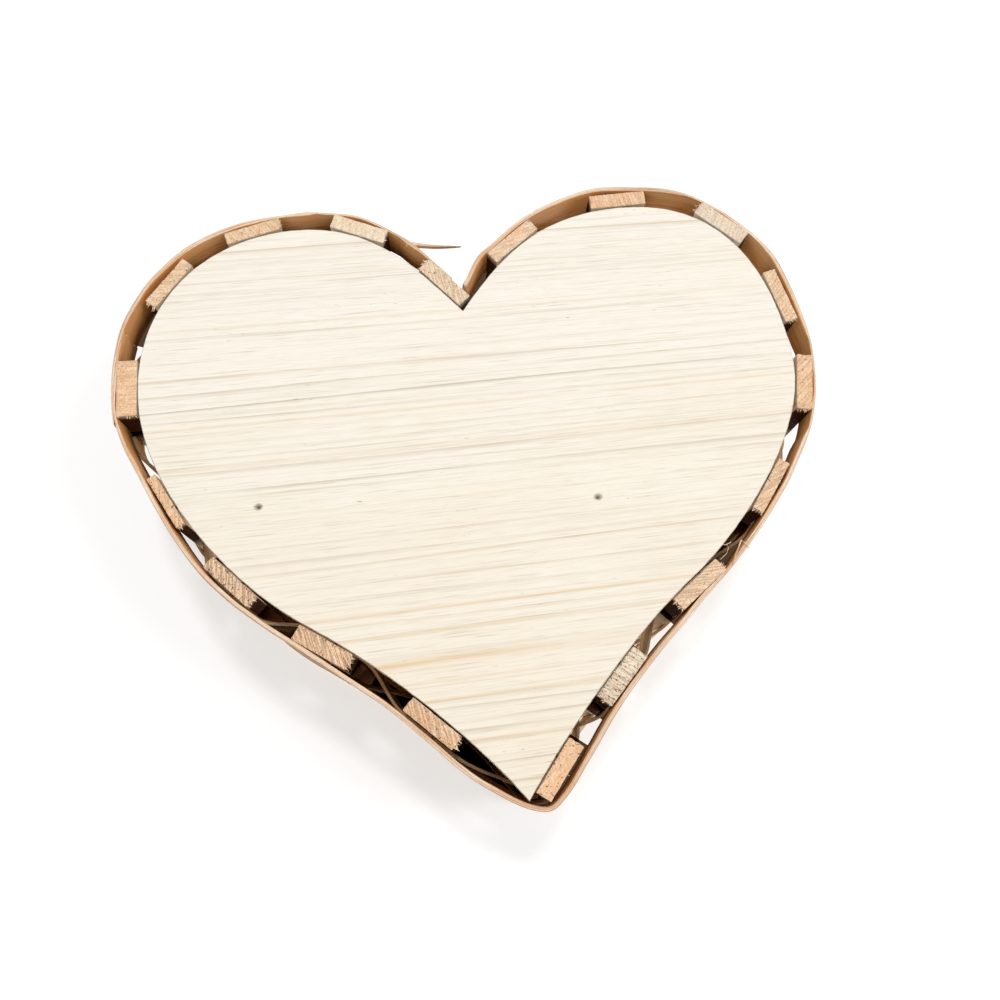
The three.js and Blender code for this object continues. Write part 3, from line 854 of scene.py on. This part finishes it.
def strip_shape(
    line, seed, edge_wave, face_wave, rounding=STRIP_ROUND, torn=0.0, inside_shade=False,
):
    """A strip's skin: a flat grid wrapped round the strip's cut from one end to the other."""
    around = len(section(1, 0, 1, 0.1))
    shape = bmesh.new()
    bmesh.ops.create_grid(shape, x_segments=len(line) - 1, y_segments=around, size=0.5)
    grain = shape.verts.layers.float_vector.new("grain")
    shade = shape.verts.layers.float.new("shade")
    cuts = [section(station.half, station.low, station.high, rounding) for station in line]
    for vert in shape.verts:
        i = round((vert.co.x + 0.5) * (len(line) - 1))
        j = round((vert.co.y + 0.5) * around) % around
        station = line[i]
        off, height = cuts[i][j]
        middle = (station.low + station.high) / 2
        to_edge = abs(height - middle) * 2 / (station.high - station.low)
        edge = 0.6 * wander((station.run, off * 2, height), EDGE_BUMP, seed)
        edge += 0.4 * wander((station.run, off * 3, height), EDGE_FUZZ, seed + 3)
        face = wander((station.run, height * 0.7, 0), FACE_BUMP, seed + 1)
        face += 0.4 * wander((station.run, height * 2, 0), FACE_FUZZ, seed + 2)
        vert[grain] = Vector((station.run + seed * 0.61, height + seed * 0.1, off))
        # Painted shade on the inner face, darker toward its top edge.
        if inside_shade and off < -0.5 * station.half:
            deep = (height - station.low) / (station.high - station.low)
            lit = max(0.0, 1 - (station.middle - LIT_PLACE).length / LIT_REACH)
            vert[shade] = clamped((deep - SHADE_FROM) / SHADE_OVER) * (1 - LIT_MOST * lit)
        up = math.copysign(edge_wave * edge, height - middle) * to_edge ** STRIP_EDGE_FADE
        face *= face_wave * min(1.0, station.half / STRIP_FULL_HALF)
        spot = station.place(off + face, height + up)
        to_end = min(i, len(line) - 1 - i) * (line[1].run - line[0].run)
        if to_end < STRIP_TORN_REACH * torn:
            pull = wander((off, height, seed * 0.1), TORN_BUMP, seed)
            pull += 0.6 * wander((off, height, 0), TORN_FUZZ, seed)
            pull *= torn * (1 - to_end / (STRIP_TORN_REACH * torn))
            spot -= square_to(station.out).to_3d() * pull
        vert.co = spot
    bmesh.ops.remove_doubles(shape, verts=shape.verts, dist=MERGE / 10)
    ends = [edge for edge in shape.edges if edge.is_boundary]
    bmesh.ops.holes_fill(shape, edges=ends, sides=0)
    bmesh.ops.recalc_face_normals(shape, faces=shape.faces)
    for face in shape.faces:
        on_edge = abs(face.normal.z) > STRIP_EDGE_FACE or len(face.verts) > 4
        face.material_index = 1 if on_edge else 0
        face.smooth = len(face.verts) == 4
    return shape


SPLIT_PALE = tone(255, 242, 220)
SPLIT_TAN = tone(252, 210, 172)
SPLIT_DARK = tone(182, 128, 90)
# The colour of painted shade on split edges.
SPLIT_EDGE_SHADE = tone(128, 98, 74)
HOOP_FACE = tone(236, 164, 94)
HOOP_FACE_DARK = tone(182, 112, 52)
HOOP_FACE_PALE = tone(246, 192, 128)
HOOP_OUTSIDE = tone(218, 176, 126)


def split_face(name, colour, dark, pale, outside, bump=0.0002):
    """The broad face of split wood: long grain, darker streaks, and a duller colour outside."""
    shader = Shader(name)
    place = shader.attribute("grain")
    bands = grain_noise(shader, place, (0.12, 0.0035, 0.01), 2.0, distortion=0.2)
    lines = grain_noise(shader, place, (0.06, 0.0010, 0.004), 3.0, 0.6, 0.5)
    fibre = grain_noise(shader, place, (0.010, 0.00028, 0.002), 2.0, 0.65)
    cloud = grain_noise(shader, place, (0.03, 0.010, 0.01), 2.0, at=(0.4, 0.0, 0.0))
    flecks = grain_noise(shader, place, (0.0025, 0.0004, 0.002), 1.0, at=(0.2, 0.3, 0.0))
    base = mixed(shader, shader.ranged(cloud, 0.3, 0.7), colour, pale)
    off = shader.parts(place)[2]
    base = mixed(shader, shader.ranged(off, -0.0001, 0.0002, 0.0, 0.8), base, outside)
    banded = shader.ranged(bands, 0.35, 0.65, 0.3, 1.0)
    line = shader.times(shader.ranged(lines, 0.46, 0.72), banded)
    colour = mixed(shader, shader.times(line, 0.8), base, dark)
    colour = streaked(shader, colour, dark, fibre, 0.4, 0.75, 0.3)
    colour = streaked(shader, colour, dark, flecks, 0.70, 0.78, 0.7)
    # Painted shade: the shade attribute darkens the face toward DEEP_SHADE and takes off its gloss.
    shade = shader.attribute("shade", "Fac")
    colour = mixed(shader, shader.times(shade, 0.88), colour, DEEP_SHADE)
    height = shader.maths("SUBTRACT", shader.times(fibre, 0.7), shader.times(line, 0.5))
    gloss = shader.maths("MULTIPLY_ADD", shade, -0.1, 0.1)
    return wood_surface(shader, colour, height, bump, 0.6, gloss)


def split_edge(name, pale, colour, dark):
    """The narrow edge, where the fibres of each year's ring show as fine lines along the strip."""
    shader = Shader(name)
    place = shader.attribute("grain")
    rings = grain_noise(shader, place, (0.045, 0.004, 0.00030), 2.0, 0.6, 0.4)
    cloud = grain_noise(shader, place, (0.014, 0.006, 0.003), 3.0)
    fuzz = grain_noise(shader, place, (0.0016, 0.0010, 0.00022), 2.0, 0.6)
    base = mixed(shader, shader.ranged(cloud, 0.3, 0.7), pale, colour)
    ringed = streaked(shader, base, dark, rings, 0.46, 0.66, 0.8)
    ringed = streaked(shader, ringed, dark, fuzz, 0.42, 0.72, 0.35)
    # Painted shade on the edges, greyed where the shade attribute says.
    shade = shader.attribute("shade", "Fac")
    ringed = mixed(shader, shader.times(shade, 0.9), ringed, SPLIT_EDGE_SHADE)
    height = shader.maths("SUBTRACT", shader.times(fuzz, 0.6), shader.times(rings, 0.8))
    return wood_surface(shader, ringed, height, 0.00022, 0.75, 0.2)


hoop_face = split_face("hoop_face", HOOP_FACE, HOOP_FACE_DARK, HOOP_FACE_PALE, HOOP_OUTSIDE)
hoop_edge = split_edge("hoop_edge", SPLIT_PALE, SPLIT_TAN, SPLIT_DARK)

# The strip is bent fair, except this near the heart's tip and cleft.
FAIR_REACH = 14 * MM
FAIR_ROUNDS = 270
TIP = Vector((-3, -106)) * MM
CLEFT = Vector((0, 74)) * MM
# The lap: how long each strip's thinned end is, half its thickness, and how the outer end dips in.
LAP_STAVE = 14
LAP_UNDER_REACH = 48 * MM
LAP_UNDER_HALF = 0.42 * MM
LAP_OVER_REACH = 44 * MM
LAP_OVER_HALF = 0.50 * MM
LAP_FEATHER = 0.22
LAP_FEATHER_REACH = 0.45
LAP_GAP = 0.05 * MM
LAP_DIVE = 0.7 * MM
LAP_DIVE_REACH = 12 * MM
# The thickness left after splitting, as a share of the sawn strip's, and how far it varies.
HOOP_THIN = 0.80
HOOP_THIN_VARIES = 0.14
HOOP_THIN_LENGTH = 40 * MM
# How deep a stave is pressed into the strip, and half the thickness that the strip keeps there.
HOOP_PRESSED = 0.25 * MM
HOOP_LEAST_HALF = 0.42 * MM
# How many stations a press or a bulge spreads, and how often each is smoothed, so that the strip
# runs on without a kink.
PRESS_SPREAD = 4
PRESS_EASING = 12
BULGE_SPREAD = 8
BULGE_EASING = 60
GUIDE_REACH = 5 * MM
GUIDE_EASING = 5
LAP_EASING = 24
# Points on the hoop's outer side in the heart's plan, in mm, counter-clockwise from the cleft.
HOOP_BEND = [
    (-38.5, 100.4), (-53.4, 103.9), (-67.5, 102.4), (-82.1, 99.3), (-94.1, 91.6), (-104.8, 81.9),
    (-113.2, 69.9), (-117.1, 55.6), (-118.7, 41.0), (-118.0, 26.5), (-115.0, 12.4), (-109.2, -0.7),
    (-102.2, -12.5), (-90.8, -25.8), (-82.4, -34.3), (-74.3, -41.7), (-66.4, -48.3), (-59.5, -54.7),
    (-52.3, -60.6), (-45.7, -66.6), (-39.1, -72.9), (-32.5, -80.0), (-25.6, -88.2), (-19.6, -95.6),
    (-15.0, -101.4), (-10.4, -105.6), (-7.8, -107.4), (-5.6, -108.2), (-2.8, -107.6), (0.8, -106.2),
    (5.4, -103.8), (12.8, -98.6), (21.7, -90.6), (29.2, -82.3), (35.9, -75.2), (42.0, -69.0),
    (48.2, -63.8), (54.2, -58.7), (60.2, -53.6), (66.3, -48.3), (73.0, -43.1), (79.9, -37.2),
    (86.9, -30.6), (93.9, -23.0), (99.9, -14.2), (105.4, -4.3), (110.6, 6.7), (115.5, 18.9),
    (120.4, 32.6), (121.8, 46.8), (119.8, 60.8), (115.3, 74.2), (107.4, 85.8), (97.0, 95.0),
    (84.7, 101.4), (71.4, 105.1), (57.5, 105.5), (44.3, 103.9), (32.0, 101.0),
]


def faired(line):
    """Bends the strip into one smooth curve, but leaves it as it is near the tip and the cleft."""
    spots = [station.middle for station in line]
    smooth = eased(spots, FAIR_ROUNDS)
    lost = eased([spot - fair for spot, fair in zip(spots, smooth)], FAIR_ROUNDS)
    for station, spot, fair, back in zip(line, spots, smooth, lost):
        near = min((spot - point).length for point in (TIP, CLEFT))
        free = clamped(near / FAIR_REACH - 1.0)
        station.middle = spot.lerp(fair + back, free)
    face_out(line)


def guided(line, points):
    """Moves the strip's outer side onto the points, and evenly between them."""
    marks = {}
    for x, y in points:
        point = on_board(x, y).xy
        near = min(range(len(line)), key=lambda k: (line[k].side(line[k].half) - point).length)
        off = point - line[near].side(line[near].half)
        if 2 < near < len(line) - 3 and off.length < GUIDE_REACH:
            marks[near] = off.dot(line[near].out)
    places = sorted(marks)
    shifts = []
    for k in range(len(line)):
        before = max((place for place in places if place <= k), default=places[0])
        after = min((place for place in places if place >= k), default=places[-1])
        part = (k - before) / (after - before) if before < k < after else 0.0
        shift = marks[before] + (marks[after] - marks[before]) * part
        shifts.append(shift if before <= k else marks[after])
    for station, shift in zip(line, eased(shifts, GUIDE_EASING)):
        station.middle = station.middle + station.out * shift
    face_out(line)


def set_half(station, half):
    """Shaves the strip's inner side and keeps its outer one."""
    station.middle = station.middle + station.out * (station.half - half)
    station.half = half


def thinned(line, reach, half, at_end):
    """Shaves the strip down toward one of its ends, where it's lapped."""
    total = line[-1].run
    for station in line:
        from_end = total - station.run if at_end else station.run
        part = clamped(from_end / reach * 2 - 1)
        feather = min(1.0, LAP_FEATHER + from_end / (LAP_FEATHER_REACH * reach))
        set_half(station, (half + (station.half - half) * part) * feather)


def freed(line):
    """Presses the strip thin where it runs into a stave, and bulges it where that isn't enough."""
    shaved = []
    for station in line:
        point = station.side(-station.half)
        need = 0.0
        for lath in laths:
            off = point - lath.middle
            across, through = off.dot(lath.along), off.dot(lath.out)
            if abs(across) < lath.width / 2 + STRIP_STEP and abs(through) < 3 * lath.thickness:
                need = max(need, lath.thickness / 2 - HOOP_PRESSED - through)
        shaved.append(need)
    for _ in range(PRESS_SPREAD):
        shaved = [max(shaved[max(k - 1, 0):k + 2]) for k in range(len(shaved))]
    bulges = []
    for station, need in zip(line, eased(shaved, PRESS_EASING)):
        half = max(station.half - need / 2, min(station.half, HOOP_LEAST_HALF))
        bulges.append(need - 2 * (station.half - half))
        set_half(station, half)
    for _ in range(BULGE_SPREAD):
        bulges = [max(bulges[max(k - 1, 0):k + 2]) for k in range(len(bulges))]
    for station, bulge in zip(line, eased(bulges, BULGE_EASING)):
        station.middle = station.middle + station.out * bulge
    face_out(line)


def nearest(line, point):
    return min(range(len(line)), key=lambda k: (line[k].middle - point).length)


def laid_under(line, over):
    """Presses a strip in under another one as far as they run together."""
    shifts = []
    for station in line:
        near = nearest(over, station.middle)
        gap = (over[near].side(-over[near].half) - station.side(station.half)).dot(station.out)
        beside = 0 < near < len(over) // 2
        shifts.append(min(0.0, gap - LAP_GAP) if beside else 0.0)
    for station, shift in zip(line, eased(shifts, LAP_EASING)):
        station.middle = station.middle + station.out * shift
    face_out(line)


hoop_long = stations("bottom_hoop_long")
hoop_short = stations("bottom_hoop_short")
for seed, line in enumerate((hoop_long, hoop_short)):
    faired(line)
    guided(line, HOOP_BEND)
    for station in line:
        varied = HOOP_THIN + HOOP_THIN_VARIES * wander((station.run, seed, 0), HOOP_THIN_LENGTH, 5)
        set_half(station, station.half * varied)
thinned(hoop_long, LAP_UNDER_REACH, LAP_UNDER_HALF, True)
thinned(hoop_short, LAP_OVER_REACH, LAP_OVER_HALF, False)
freed(hoop_long)
freed(hoop_short)
laid_under(hoop_long, hoop_short)
for station in hoop_short:
    dive = LAP_DIVE * max(0.0, 1 - station.run / LAP_DIVE_REACH) ** 2
    station.middle = station.middle - station.out * dive

# The splinter is a long sliver of the short strip's outer face, still held at its root. It is pale
# where it broke off and painted grey with shade toward its point.
SPLINTER_STEPS = 40
SPLINTER_ROOT = (16.6, 90.2)
SPLINTER_TIP = (-2.6, 86.9)
SPLINTER_HALF = 0.55 * MM
SPLINTER_TAPER = 0.7
SPLINTER_POINT_HALF = 0.1 * MM
SPLINTER_POINT_REACH = 0.2 * MM
SPLINTER_SEED = 3
SPLINTER_BOW = 0.5 * MM
SPLINTER_WAVE = 0.1 * MM
SPLINTER_ROUND = 0.15 * MM
SPLINTER_LOW = 1.0 * MM
SPLINTER_HIGH = 2.8 * MM
SPLINTER_SHADE_FROM = 3 * MM
SPLINTER_SHADE_RATE = 0.055 / MM


def splinter_line():
    root = on_board(*SPLINTER_ROOT).xy
    way = on_board(*SPLINTER_TIP).xy - root
    square = square_to(way).normalized()
    line = []
    for k in range(SPLINTER_STEPS + 1):
        part = k / SPLINTER_STEPS
        spot = root + way * part - square * (SPLINTER_BOW * math.sin(math.pi * part))
        half = SPLINTER_HALF * (1 - part) ** SPLINTER_TAPER + SPLINTER_POINT_HALF
        middle = (SPLINTER_LOW + SPLINTER_HIGH) / 2
        reach = (SPLINTER_HIGH - SPLINTER_LOW) / 2 * (1 - part) ** 0.5 + SPLINTER_POINT_REACH
        line.append(Station(spot, half, way.length * part, middle - reach, middle + reach))
    face_out(line)
    return line


def splinter_shape():
    """The splinter is split wood all round, so the edge's wood covers it."""
    line = splinter_line()
    shape = strip_shape(line, SPLINTER_SEED, SPLINTER_WAVE, SPLINTER_WAVE, SPLINTER_ROUND)
    root = on_board(*SPLINTER_ROOT)
    splinter_shade_layer = shape.verts.layers.float["shade"]
    for vert in shape.verts:
        # Painted shade, growing from a little past the root toward the point.
        grey = SPLINTER_SHADE_RATE * ((vert.co - root).length - SPLINTER_SHADE_FROM)
        vert[splinter_shade_layer] = clamped(grey)
    for face in shape.faces:
        face.material_index = 1
    return shape


hoops = {"bottom_hoop_long": hoop_long, "bottom_hoop_short": hoop_short}
for seed, (node, line) in enumerate(hoops.items(), 1):
    shape = strip_shape(
        line, seed, HOOP_EDGE_WAVE, HOOP_FACE_WAVE, torn=HOOP_TORN, inside_shade=True,
    )
    if line is hoop_short:
        take_in(shape, splinter_shape())
    strip = new_piece(node.replace("bottom_", ""), shape, hoop_face, hoop_edge)
    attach(strip, "root")
    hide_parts(node)

# Woven rows: three thin strips of splint, woven in front of and behind the staves, each row the
# other way round from the last. They hold by their own spring.
ROW_COUNT = 3
ROW_SEED = 4
ROW_EDGE_WAVE = 0.25 * MM
ROW_FACE_WAVE = 0.15 * MM
ROW_ROUND = 0.18 * MM
ROW_BUMP = 0.15 * MM
ROW_FACE = tone(214, 176, 128)
ROW_FACE_DARK = tone(160, 118, 76)
ROW_FACE_PALE = tone(232, 202, 160)

# Rows painted in deep shade near their lower edges in some gaps: the two staves, and how dark.
ROW_SHADES = [
    (13, 14, 1.0), (6, 7, 0.8), (8, 9, 0.7), (9, 10, 0.8), (10, 11, 0.5), (11, 12, 0.5),
    (12, 13, 0.6), (14, 15, 1.0), (7, 8, 0.6),
]
ROW_SHADE_REACH = 14 * MM
ROW_SHADE_HIGH = 7 * MM

row_face = split_face("row_face", ROW_FACE, ROW_FACE_DARK, ROW_FACE_PALE, ROW_FACE_PALE, ROW_BUMP)
row_edge = split_edge("row_edge", ROW_FACE_PALE, ROW_FACE, ROW_FACE_DARK)

for number in range(1, ROW_COUNT + 1):
    node = f"woven_row_{number:02d}"
    line = stations(node)
    shape = strip_shape(line, ROW_SEED + number, ROW_EDGE_WAVE, ROW_FACE_WAVE, ROW_ROUND)
    row_shade_layer = shape.verts.layers.float["shade"]
    # Painted shade, strongest at the gap's middle and the row's lower edge.
    for vert in shape.verts:
        for first, second, most in ROW_SHADES:
            middle = (laths[first - 1].middle + laths[second - 1].middle) / 2
            near = (vert.co.xy - middle).length / ROW_SHADE_REACH
            low_part = (vert.co.z - line[0].low) / ROW_SHADE_HIGH
            vert[row_shade_layer] = max(vert[row_shade_layer], most * clamped(2 - near - low_part))
    row = new_piece(f"splint_row_{number:02d}", shape, row_face, row_edge)
    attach(row, "root")
    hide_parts(node)

# Rim: an outer and an inner band of the same split wood as the hoop, bent round the tops of the
# staves and nailed through them.
RIM_ROUND = 0.5 * MM
RIM_SEED = 9

for seed, node in enumerate(("rim_outer", "rim_inner"), RIM_SEED):
    shape = strip_shape(stations(node), seed, HOOP_EDGE_WAVE, HOOP_FACE_WAVE, RIM_ROUND)
    band = new_piece(node.replace("rim_", "rim_band_"), shape, hoop_face, hoop_edge)
    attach(band, "root")
    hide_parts(node)

# Nails: thin steel nails with small flat heads, sunk a little into the bands. The hoop's nails run
# through each stave into the board's edge, and the rim's hold every second stave.
NAIL_TURNS = 20
NAIL_DOME = 0.18 * MM
NAIL_SHANK = 0.65 * MM
NAIL_HEAD = 1.25 * MM
NAIL_HEAD_DEEP = 0.45 * MM
NAIL_HEAD_EDGE = 0.15 * MM
NAIL_POINT = 1.5 * MM
NAIL_SUNK = 0.2 * MM
STEEL = tone(150, 146, 140)
STEEL_DARK = tone(92, 84, 76)


def nail_steel():
    shader = Shader("nail_steel")
    place = shader.add("TexCoord").outputs["Object"]
    cloud = grain_noise(shader, place, (0.0012, 0.0012, 0.0012), 3.0)
    scratch = grain_noise(shader, place, (0.0002, 0.0002, 0.0002), 2.0)
    colour = mixed(shader, shader.ranged(cloud, 0.4, 0.65), STEEL, STEEL_DARK)
    bump = shader.add("Bump", {"Height": scratch, "Strength": 0.6, "Distance": 0.00005})
    rough = shader.ranged(cloud, 0.35, 0.65, 0.32, 0.6)
    inputs = {"Base Color": colour, "Metallic": 1.0, "Roughness": rough, "Normal": bump.outputs[0]}
    return shader.finish(shader.add("BsdfPrincipled", inputs).outputs[0])


def over_stave(line, lath):
    """The station of a strip that lies over the middle of a stave."""
    return min(line, key=lambda station: abs((station.middle - lath.middle).dot(lath.along))
               + 5 * abs((station.middle - lath.middle).dot(lath.out)))


def nail_shape(node, lath):
    """A nail's outline spun round its length, which runs into the basket."""
    points = [vert.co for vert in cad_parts[node].data.vertices]
    across = [point.xy.dot(lath.along) for point in points]
    through = [point.xy.dot(lath.out) for point in points]
    heights = [point.z for point in points]
    head = max(through)
    end = min(through)
    if node.startswith("hoop"):
        at = over_stave(hoop_short if lath in laths[LAP_STAVE - 1:] else hoop_long, lath)
        head = at.side(at.half).dot(lath.out) - NAIL_SUNK
    outline = [
        (head + NAIL_DOME, 0), (head + 0.9 * NAIL_DOME, 0.5 * NAIL_HEAD), (head, 0.9 * NAIL_HEAD),
        (head - NAIL_HEAD_EDGE, NAIL_HEAD), (head - NAIL_HEAD_DEEP, 0.9 * NAIL_HEAD),
        (head - 1.3 * NAIL_HEAD_DEEP, NAIL_SHANK), (end + NAIL_POINT, NAIL_SHANK), (end, 0),
    ]
    shape = bmesh.new()
    verts = [shape.verts.new((length, radius, 0)) for length, radius in outline]
    edges = [shape.edges.new(pair) for pair in zip(verts, verts[1:])]
    bmesh.ops.spin(
        shape, geom=verts + edges, axis=(1, 0, 0), cent=(0, 0, 0), steps=NAIL_TURNS, angle=math.tau,
        use_merge=True,
    )
    bmesh.ops.remove_doubles(shape, verts=shape.verts, dist=MERGE / 10)
    out = lath.out.to_3d()
    along = lath.along.to_3d()
    turn = Matrix((out, along, (0, 0, 1))).transposed().to_4x4()
    middle = along * (max(across) + min(across)) / 2
    middle.z = (max(heights) + min(heights)) / 2
    bmesh.ops.transform(shape, matrix=Matrix.Translation(middle) @ turn, verts=shape.verts)
    bmesh.ops.recalc_face_normals(shape, faces=shape.faces)
    for face in shape.faces:
        face.smooth = True
    return shape


nail_finish = nail_steel()
nail_laths = {f"hoop_nail_{number:02d}": lath for number, lath in enumerate(laths, 1)}
nail_laths.update({f"rim_nail_{number:02d}": lath for number, lath in enumerate(laths[::2], 1)})
for node, lath in nail_laths.items():
    nail = new_piece(f"steel_{node}", nail_shape(node, lath), nail_finish)
    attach(nail, "root")
    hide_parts(node)

# Torn fibres: where the saw left the wood, slivers still hang at the feet of the staves, and a few
# long hairs of the splint curl in a gap. They are thin pale wood, still grown to their piece.
SLIVER_SIDES = 4
SLIVER_FLAT = 0.45
SLIVER_POINT = 0.15
SLIVER_OUT = 0.4
HAIR_SIDES = 5
# How far inside the stave's faces a sliver is rooted, and the longest piece of thread left uncut.
ROOT_IN = 0.3 * MM
THREAD_STEP = 2 * MM
FIBRE_SEED = 7
FIBRE_PALE = tone(255, 238, 208)
FIBRE_TAN = tone(226, 178, 128)
# Stave, which end of its width, how many slivers, and their longest length in mm.
TUFTS = [
    (14, -1, 9, 1.8), (13, -1, 6, 2.0), (12, -1, 7, 2.0), (11, -1, 12, 2.8), (10, -1, 9, 2.6),
    (7, 1, 9, 2.4), (6, 1, 8, 2.0), (5, 1, 12, 2.2), (4, 1, 9, 2.0), (15, -1, 10, 2.4),
    (3, -1, 9, 2.8), (16, 1, 4, 1.2), (17, 1, 4, 1.4), (18, -1, 12, 2.6), (8, 1, 5, 1.6),
    (7, -1, 6, 2.0),
]
# Hairs as lines of points in the heart's plan with heights, all in mm, and their thickness.
HAIRS = [
    ([(-70.6, -33.4, 2.0), (-72.0, -32.0, 0.8), (-74.1, -31.5, 0.2), (-76.2, -31.9, 0.0),
      (-78.2, -31.0, 0.6)], 0.13),
    ([(-77.2, -38.8, 0.4), (-78.6, -35.6, -0.6), (-80.0, -33.2, -1.0), (-81.4, -31.0, -0.8),
      (-82.9, -32.6, -0.2), (-83.6, -34.0, 0.4)], 0.24),
    ([(-73.6, -36.4, 1.0), (-75.8, -34.8, 0.0), (-76.8, -32.9, -0.4), (-76.3, -31.2, 0.2)], 0.10),
]


def fibre_wood():
    shader = Shader("fibre_wood")
    place = shader.add("TexCoord").outputs["Object"]
    cloud = grain_noise(shader, place, (0.0015, 0.0015, 0.0015), 2.0)
    fine = grain_noise(shader, place, (0.0003, 0.0003, 0.0003), 2.0)
    colour = mixed(shader, shader.ranged(cloud, 0.38, 0.62), FIBRE_PALE, FIBRE_TAN)
    return wood_surface(shader, colour, fine, 0.0001, 0.8, 0.1)


def sliver(shape, root, way, length, thick):
    """A flat pointed chip that stands off its root."""
    made = bmesh.ops.create_cone(
        shape, cap_ends=True, segments=SLIVER_SIDES, radius1=thick, radius2=SLIVER_POINT * thick,
        depth=length,
    )
    turn = way.to_track_quat("Z", "Y").to_matrix().to_4x4()
    middle = Matrix.Translation(root + way.normalized() * length * SLIVER_OUT)
    flat = Matrix.Diagonal((1.0, SLIVER_FLAT, 1.0, 1.0))
    bmesh.ops.transform(shape, matrix=middle @ turn @ flat, verts=made["verts"])


def hair(shape, points, thick):
    """A round thread through the points, made by pulling a small circle along them."""
    path = [on_board(x, y, z * MM) for x, y, z in points]
    way = path[1] - path[0]
    ring = bmesh.ops.create_circle(shape, segments=HAIR_SIDES, radius=thick * MM)["verts"]
    turn = way.to_track_quat("Z", "Y").to_matrix().to_4x4()
    bmesh.ops.transform(shape, matrix=Matrix.Translation(path[0]) @ turn, verts=ring)
    edges = list(dict.fromkeys(edge for vert in ring for edge in vert.link_edges))
    for a, b in zip(path, path[1:]):
        pulled = bmesh.ops.extrude_edge_only(shape, edges=edges)["geom"]
        verts = [part for part in pulled if isinstance(part, bmesh.types.BMVert)]
        edges = [part for part in pulled if isinstance(part, bmesh.types.BMEdge)]
        edges = [edge for edge in edges if edge.is_boundary]
        bmesh.ops.translate(shape, verts=verts, vec=b - a)


random.seed(FIBRE_SEED)
fibres = bmesh.new()
for number, side, count, longest in TUFTS:
    lath = laths[number - 1]
    along = lath.along.to_3d() * side
    out = lath.out.to_3d()
    for _ in range(count):
        through = random.triangular(-0.5, 0.5, random.choice((-0.4, 0.1, 0.45)))
        up = lath.low + random.uniform(0.1, 1.0) * MM
        across = side * (lath.width / 2 - ROOT_IN)
        root = lath.place(across, through * (lath.thickness - 2 * ROOT_IN), up)
        way = along * random.uniform(0.4, 1.0) + out * random.uniform(-0.6, 0.6)
        way.z = random.uniform(-0.35, 0.5)
        length = longest * MM * random.uniform(0.35, 1.0)
        sliver(fibres, root, way, length, random.uniform(0.12, 0.42) * MM)
for points, thick in HAIRS:
    hair(fibres, points, thick)
long_edges = [edge for edge in fibres.edges if edge.calc_length() > THREAD_STEP]
bmesh.ops.subdivide_edges(fibres, edges=long_edges, cuts=1)
bmesh.ops.recalc_face_normals(fibres, faces=fibres.faces)
torn_fibres = new_piece("torn_fibres", fibres, fibre_wood())
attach(torn_fibres, "root")

# Shade: the gaps between the staves look into the dark inside of the upturned basket. A thin sheet
# of painted shade lies over each dark gap, just above the hoop, and a ground painted dark as shade
# lies inside the rim. They are no part of the basket, and show from below only.
SHADE_LOW = 16.6 * MM
SHADE_HIGH = 19.0 * MM
SHADE_TINT = (0.085, 0.048, 0.028)
SHADE_IN = 14 * MM
# The two staves (0 is the strip's start at the cleft), where the dark part of the gap between them
# starts and ends, and the height of its sheet: over the woven strips that show lit, or under them.
SHADED_GAPS = [
    (0, 1, 0.0, 1.0, SHADE_LOW), (3, 4, 0.0, 1.0, SHADE_LOW), (6, 7, 0.0, 1.0, SHADE_HIGH),
    (7, 8, 0.0, 0.30, SHADE_HIGH), (7, 8, 0.66, 1.0, SHADE_HIGH), (8, 9, 0.0, 0.38, SHADE_HIGH),
    (8, 9, 0.66, 1.0, SHADE_LOW), (9, 10, 0.0, 1.0, SHADE_HIGH), (10, 11, 0.0, 1.0, SHADE_HIGH),
    (11, 12, 0.0, 1.0, SHADE_HIGH), (12, 13, 0.0, 0.42, SHADE_HIGH), (13, 14, 0.72, 1.0, SHADE_LOW),
    (14, 15, 0.5, 1.0, SHADE_LOW),
]
# The gaps through which the ground inside the rim shows, and how far in it is painted dark as
# shade.
DARK_GAPS = [(0, 1), (3, 4), (6, 7), (9, 10), (10, 11), (11, 12)]
DARK_IN = 45 * MM
SHADE_GROUND = (0.004, 0.002, 0.001)

shade_ground = ground_material("shade_ground", SHADE_GROUND, 0.0)
shade = Shader("dark_shade")
dark_shade = seen_from_front(shade, shade.add("BsdfTransparent", {"Color": (*SHADE_TINT, 1)}))


def shade_sheet(first, second, start, end, height, width, material):
    """A sheet over part of the gap between two staves, from the hoop's middle inward."""
    line = hoop_short if second > LAP_STAVE else hoop_long
    near = nearest(line, laths[first - 1].middle) if first else 0
    far = nearest(line, laths[second - 1].middle)
    low, high = round(near + (far - near) * start), round(near + (far - near) * end)
    sheet = bmesh.new()
    edges = []
    for off in (0.0, -width):
        verts = [sheet.verts.new(station.place(off, height)) for station in line[low:high + 1]]
        edges += [sheet.edges.new(pair) for pair in zip(verts, verts[1:])]
    bmesh.ops.bridge_loops(sheet, edges=edges)
    bmesh.ops.triangulate(sheet, faces=sheet.faces)
    for face in sheet.faces:
        face.normal_update()
        if face.normal.z > 0:
            face.normal_flip()
    new_piece(f"shade_{first}_{second}", sheet, material)


for gap in SHADED_GAPS:
    shade_sheet(*gap, SHADE_IN, dark_shade)
for first, second in DARK_GAPS:
    shade_sheet(first, second, 0.0, 1.0, rim_height + GROUND_GAP / 2, DARK_IN, shade_ground)
